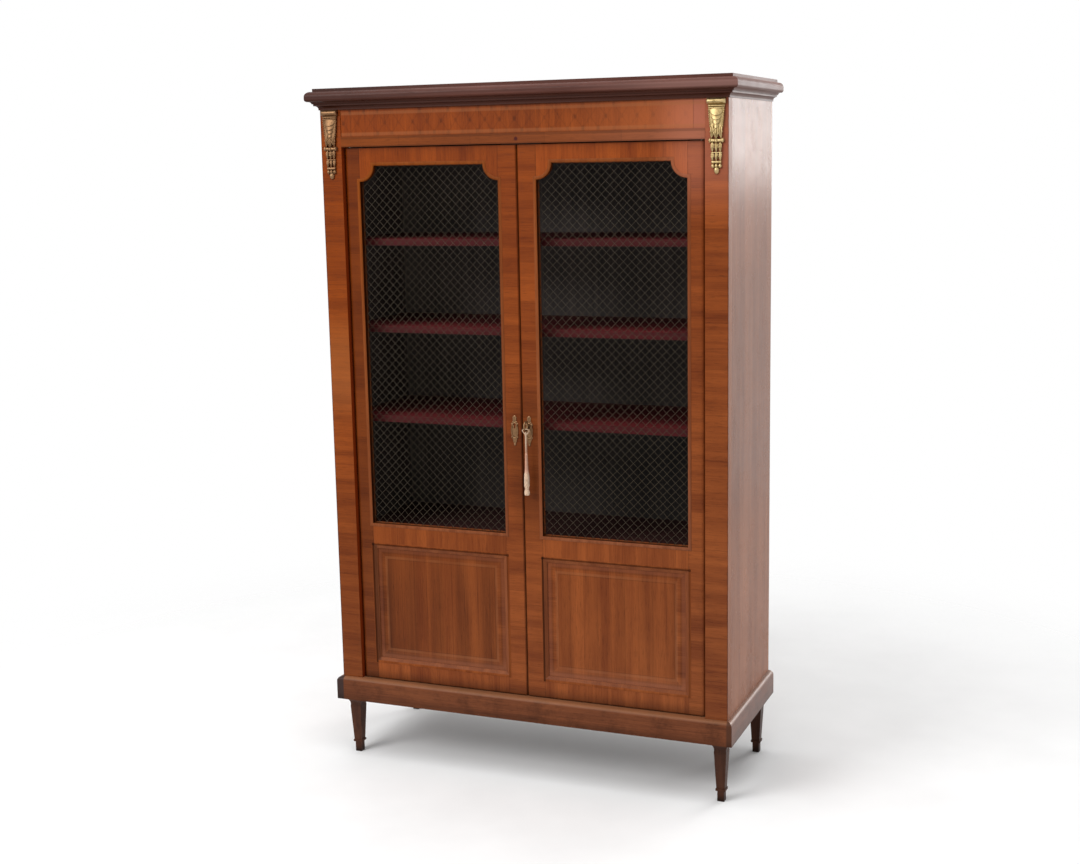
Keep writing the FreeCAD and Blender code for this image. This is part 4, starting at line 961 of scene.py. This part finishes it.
def keyhole_plates(gold):
    """Oval plates with a raised rim, scrolls and leaf finials, pierced for the key."""
    forms = [ball(0, OVAL_LEVEL, OVAL_WIDE, OVAL_TALL, 2.2), leaf(0, 0, 5.6, 26, 2.6),
             ball(0, 4.5, 3.2, 4.2, 3.0)]
    for side in (-1, 1):
        forms += [ball(side * 7.6, 24, 3.0, 3.6, 2.8), ball(side * 7.6, 60, 3.0, 3.6, 2.8),
                  ball(side * 4.6, 18.5, 2.6, 3.0, 2.6), ball(side * 4.6, 65.5, 2.6, 3.0, 2.6)]
    forms += [ball(0, 79.5, 3.2, 4.2, 3.0), leaf(0, 60, 5.6, 24, 2.6)]

    def rim(across, down):
        around = np.sqrt((across / OVAL_WIDE) ** 2 + ((down - OVAL_LEVEL) / OVAL_TALL) ** 2)
        return 3.2 * np.sqrt(np.clip(1 - ((around - 0.88) / 0.12) ** 2, 0, 1))

    def key_way(across, down):
        eye = across ** 2 + (down - KEYHOLE_LEVEL) ** 2 < KEYHOLE_RADIUS ** 2
        slot = (np.abs(across) < KEYHOLE_SLOT) & (down > KEYHOLE_LEVEL) & (down < KEYHOLE_FOOT)
        return eye | slot

    forms.append(rim)
    for side in ("left", "right"):
        place = wall_place(side + "_keyhole_plate")
        name = side + "_ormolu_plate"
        mesh = relief(name, forms, PLATE_HALF_WIDTH, PLATE_LENGTH, place, PLATE_STEP, [key_way])
        piece(name, mesh, gold, side + "_door", "gilt_bronze", side + "_keyhole_plate")


def silk(name, pale, deep):
    """Silk thread with a soft sheen."""
    graph = Graph(name)
    thread = graph.noise(graph.stretch((1400.0, 1400.0, 160.0)), detail=3.0)
    age = graph.ease(graph.noise(graph.place, 70.0, detail=3.0), 0.35, 0.7)
    colour = graph.mix(graph.ease(thread, 0.3, 0.65), deep, pale)
    blush = graph.between(graph.z, (0.868, 0.884), (0.925, 0.950))
    colour = graph.tint(colour, blush, 0.6, srgb(204, 138, 112))
    graph.set(Base_Color=graph.dim(colour, age, 0.2), Roughness=graph.math("MULTIPLY_ADD", thread, 0.2, 0.5),
              Sheen_Weight=0.3, Specular_IOR_Level=0.3)
    graph.bump(thread, 0.0004, 0.6)
    return graph.material


def lathe(name, profile, place, threads, groove):
    """Turned form whose surface is laid in upright threads."""
    points, faces = [], []
    around = threads * 4
    for number, (radius, z) in enumerate(profile):
        for step in range(around):
            angle = 2 * math.pi * step / around
            wave = 0.5 - 0.5 * math.cos(angle * threads + z * THREAD_TWIST)
            ripple = radius - groove * min(1.0, radius / FINE_RADIUS) * wave
            points.append((place[0] + ripple * math.cos(angle), place[1] + ripple * math.sin(angle), z))
        if number:
            faces += between_rings((number - 1) * around, number * around, around)
    faces.append(list(range(around)))
    faces.append(list(range(len(points) - around, len(points))))
    return build_mesh(name, points, faces)


def cord_route():
    """Points of the cord's line, read from its NURBS spline."""
    line = bpy.data.curves.new("cord_line", "CURVE")
    line.dimensions = "3D"
    spline = line.splines.new("NURBS")
    levels = (CORD_TOP, CORD_TOP - 6 * CORD_DIAMETER, CORD_TOP - CORD_LENGTH)
    spline.points.add(len(levels) - 1)
    for point, z in zip(spline.points, levels):
        point.co = (KEY_X, RING_Y, z, 1.0)
    spline.order_u = 3
    spline.use_endpoint_u = True
    guide = bpy.data.objects.new("cord_line", line)
    route = [vertex.co.copy() for vertex in bpy.data.meshes.new_from_object(guide).vertices]
    bpy.data.objects.remove(guide)
    return route


def cord_strands(route):
    """Strands twisted round the cord's line."""
    points, faces = [], []
    tube_turns = [2 * math.pi * corner / TUBE_CORNERS for corner in range(TUBE_CORNERS)]
    for strand in range(STRANDS):
        for step in range(STRAND_STEPS + 1):
            along = step / STRAND_STEPS * (len(route) - 1)
            low = min(int(along), len(route) - 2)
            centre = route[low].lerp(route[low + 1], along - low)
            angle = 2 * math.pi * (STRAND_TURNS * step / STRAND_STEPS + strand / STRANDS)
            out = Vector((math.cos(angle), math.sin(angle), 0))
            start = len(points)
            for turn in tube_turns:
                rise = Vector((0, 0, STRAND_RADIUS * math.sin(turn)))
                offset = out * (STRAND_OFFSET + STRAND_RADIUS * math.cos(turn)) + rise
                points.append(tuple(centre + offset))
            if step:
                faces += between_rings(start - TUBE_CORNERS, start, TUBE_CORNERS)
    return build_mesh("silk_cord", points, faces)


def cord_loop():
    """Loop of the cord through the key's ring."""
    points, faces = [], []
    for step in range(LOOP_STEPS):
        angle = 2 * math.pi * step / LOOP_STEPS
        rise = math.sin(angle)
        wide, tall = LOOP_HALF_WIDTH, LOOP_RISE
        if rise <= 0:
            wide, tall = LOOP_HALF_WIDTH * (1 + LOOP_TAPER * rise), LOOP_DROP
        middle = Vector((KEY_X + wide * math.cos(angle), RING_Y, KEY_Z - BOW_RADIUS + tall * rise))
        out = Vector((math.cos(angle), 0, rise))
        for corner in range(TUBE_CORNERS):
            turn = 2 * math.pi * corner / TUBE_CORNERS
            spot = middle + out * LOOP_RADIUS * math.cos(turn)
            points.append((spot.x, spot.y + LOOP_RADIUS * math.sin(turn), spot.z))
        following = (step + 1) % LOOP_STEPS
        faces += between_rings(step * TUBE_CORNERS, following * TUBE_CORNERS, TUBE_CORNERS)
    return build_mesh("cord_loop", points, faces)


def cord_and_tassel():
    """Twisted silk cord on the key's ring, ending in a wound and fringed tassel."""
    route = cord_route()
    pale = silk("silk_cord", srgb(222, 196, 166), srgb(168, 128, 98))
    rope = piece("silk_cord", cord_strands(route), pale, "tassel", "cord", "tassel_cord")
    loop = piece("cord_loop", cord_loop(), pale, "tassel", "cord")
    fringe = silk("silk_tassel", srgb(240, 216, 186), srgb(176, 126, 100))
    mesh = lathe("silk_tassel", TASSEL_PROFILE, (KEY_X, RING_Y), TASSEL_THREADS, THREAD_GROOVE)
    hanging = piece("silk_tassel", mesh, fringe, "tassel", "cord", "tassel")
    tuple(route[0])
    [tuple(point) for point in route]


def camera():
    """Camera of the photograph, with its small roll."""
    turn, dip, roll = (math.radians(angle) for angle in (CAMERA_TURN, CAMERA_DIP, CAMERA_ROLL))
    look = Vector((-math.sin(turn) * math.cos(dip), math.cos(turn) * math.cos(dip), -math.sin(dip)))
    right = look.cross(Vector((0, 0, 1))).normalized()
    up = right.cross(look)
    right, up = right * math.cos(roll) + up * math.sin(roll), up * math.cos(roll) - right * math.sin(roll)
    data = bpy.data.cameras.new("camera")
    data.sensor_width = SENSOR_WIDTH
    data.lens = FOCAL_PIXELS * SENSOR_WIDTH / PICTURE_WIDTH
    eye = linked("camera", data)
    eye.matrix_world = Matrix.Translation(CAMERA_PLACE) @ Matrix((right, up, -look)).transposed().to_4x4()
    bpy.context.scene.camera = eye


def pale_floor():
    """Pale floor that fades into the surroundings."""
    mesh = bpy.data.meshes.new("floor")
    shape = bmesh.new()
    bmesh.ops.create_circle(shape, cap_ends=True, segments=96, radius=FLOOR_RADIUS)
    shape.to_mesh(mesh)
    shape.free()
    floor = linked("floor", mesh)
    graph = Graph("floor")
    fleck = graph.noise(graph.place, 3.0, detail=4.0)
    colour = graph.ramp(fleck, (0.3, srgb(240, 240, 240)), (0.7, srgb(246, 246, 246)))
    far = graph.add("VectorMath", graph.place, operation="LENGTH").outputs["Value"]
    graph.set(Base_Color=colour, Roughness=0.9, Specular_IOR_Level=0.1, Alpha=graph.fall(far, *FLOOR_FADE))
    mesh.materials.append(graph.material)


def surroundings():
    """White surroundings, seen brighter than the light they give."""
    bpy.context.scene.view_settings.view_transform = "Standard"
    world = bpy.data.worlds.new("studio")
    world.use_nodes = True
    bpy.context.scene.world = world
    tree = Tree(world.node_tree)
    ray = tree.add("LightPath").outputs
    seen = ray["Is Camera Ray"]
    for kind in ("Is Glossy Ray", "Is Transmission Ray"):
        seen = tree.math("MAXIMUM", seen, ray[kind])
    strength = tree.add("MapRange", seen, 0.0, 1.0, WORLD_LIGHT, WORLD_SEEN)
    tree.named(world.node_tree.nodes["Background"], Color=(1, 1, 1, 1), Strength=strength.outputs[0])


def lamp(name, place, target, size, radiance):
    """Soft box of a given brightness."""
    data = bpy.data.lights.new(name, "AREA")
    data.shape = "RECTANGLE"
    data.size, data.size_y = size
    data.energy = radiance * math.pi * size[0] * size[1]
    light = linked(name, data)
    light.location = place
    light.rotation_euler = (Vector(target) - Vector(place)).to_track_quat("-Z", "Y").to_euler()
    light.visible_camera = False


def lights():
    """Main light from the front left, one overhead, and a window and a wall that show in the right side."""
    lamp("key", place=(-2.2, -3.6, 3.4), target=(0, 0, 0.9), size=(2.4, 1.8), radiance=9.0)
    lamp("overhead", place=(0.0, -0.6, 4.2), target=(0, 0, 0), size=(4.0, 4.0), radiance=2.2)
    lamp("window", place=(2.9, 5.4, 2.5), target=(0.6, 0, 1.6), size=(2.4, 1.95), radiance=7.2)
    lamp("right_wall", place=(3.2, 5.0, 0.7), target=(0.6, 0, 0.8), size=(3.2, 2.2), radiance=0.55)


antique_gold = gilt("gilt_bronze", srgb(199, 175, 128), srgb(113, 91, 50), rough=0.32)
# Darker copy of the gilt: painted shade on the left drop, and the keyhole plates' dull gilding
dull_and_shaded_gold = gilt("dull_and_shaded_bronze", srgb(147, 112, 81), srgb(80, 58, 37), rough=0.38)
camera()
cord_and_tassel()
dress_corner_stiles()
dress_frieze()
dress_doors()
dress_cornice()
dress_plinth()
dress_feet()
dress_sides()
dress_boards()
dress_shelves()
dress_metal(antique_gold)
opening_beads()
wire_grilles()
bronze_drops(antique_gold, dull_and_shaded_gold)
keyhole_plates(dull_and_shaded_gold)
pale_floor()
surroundings()
lights()
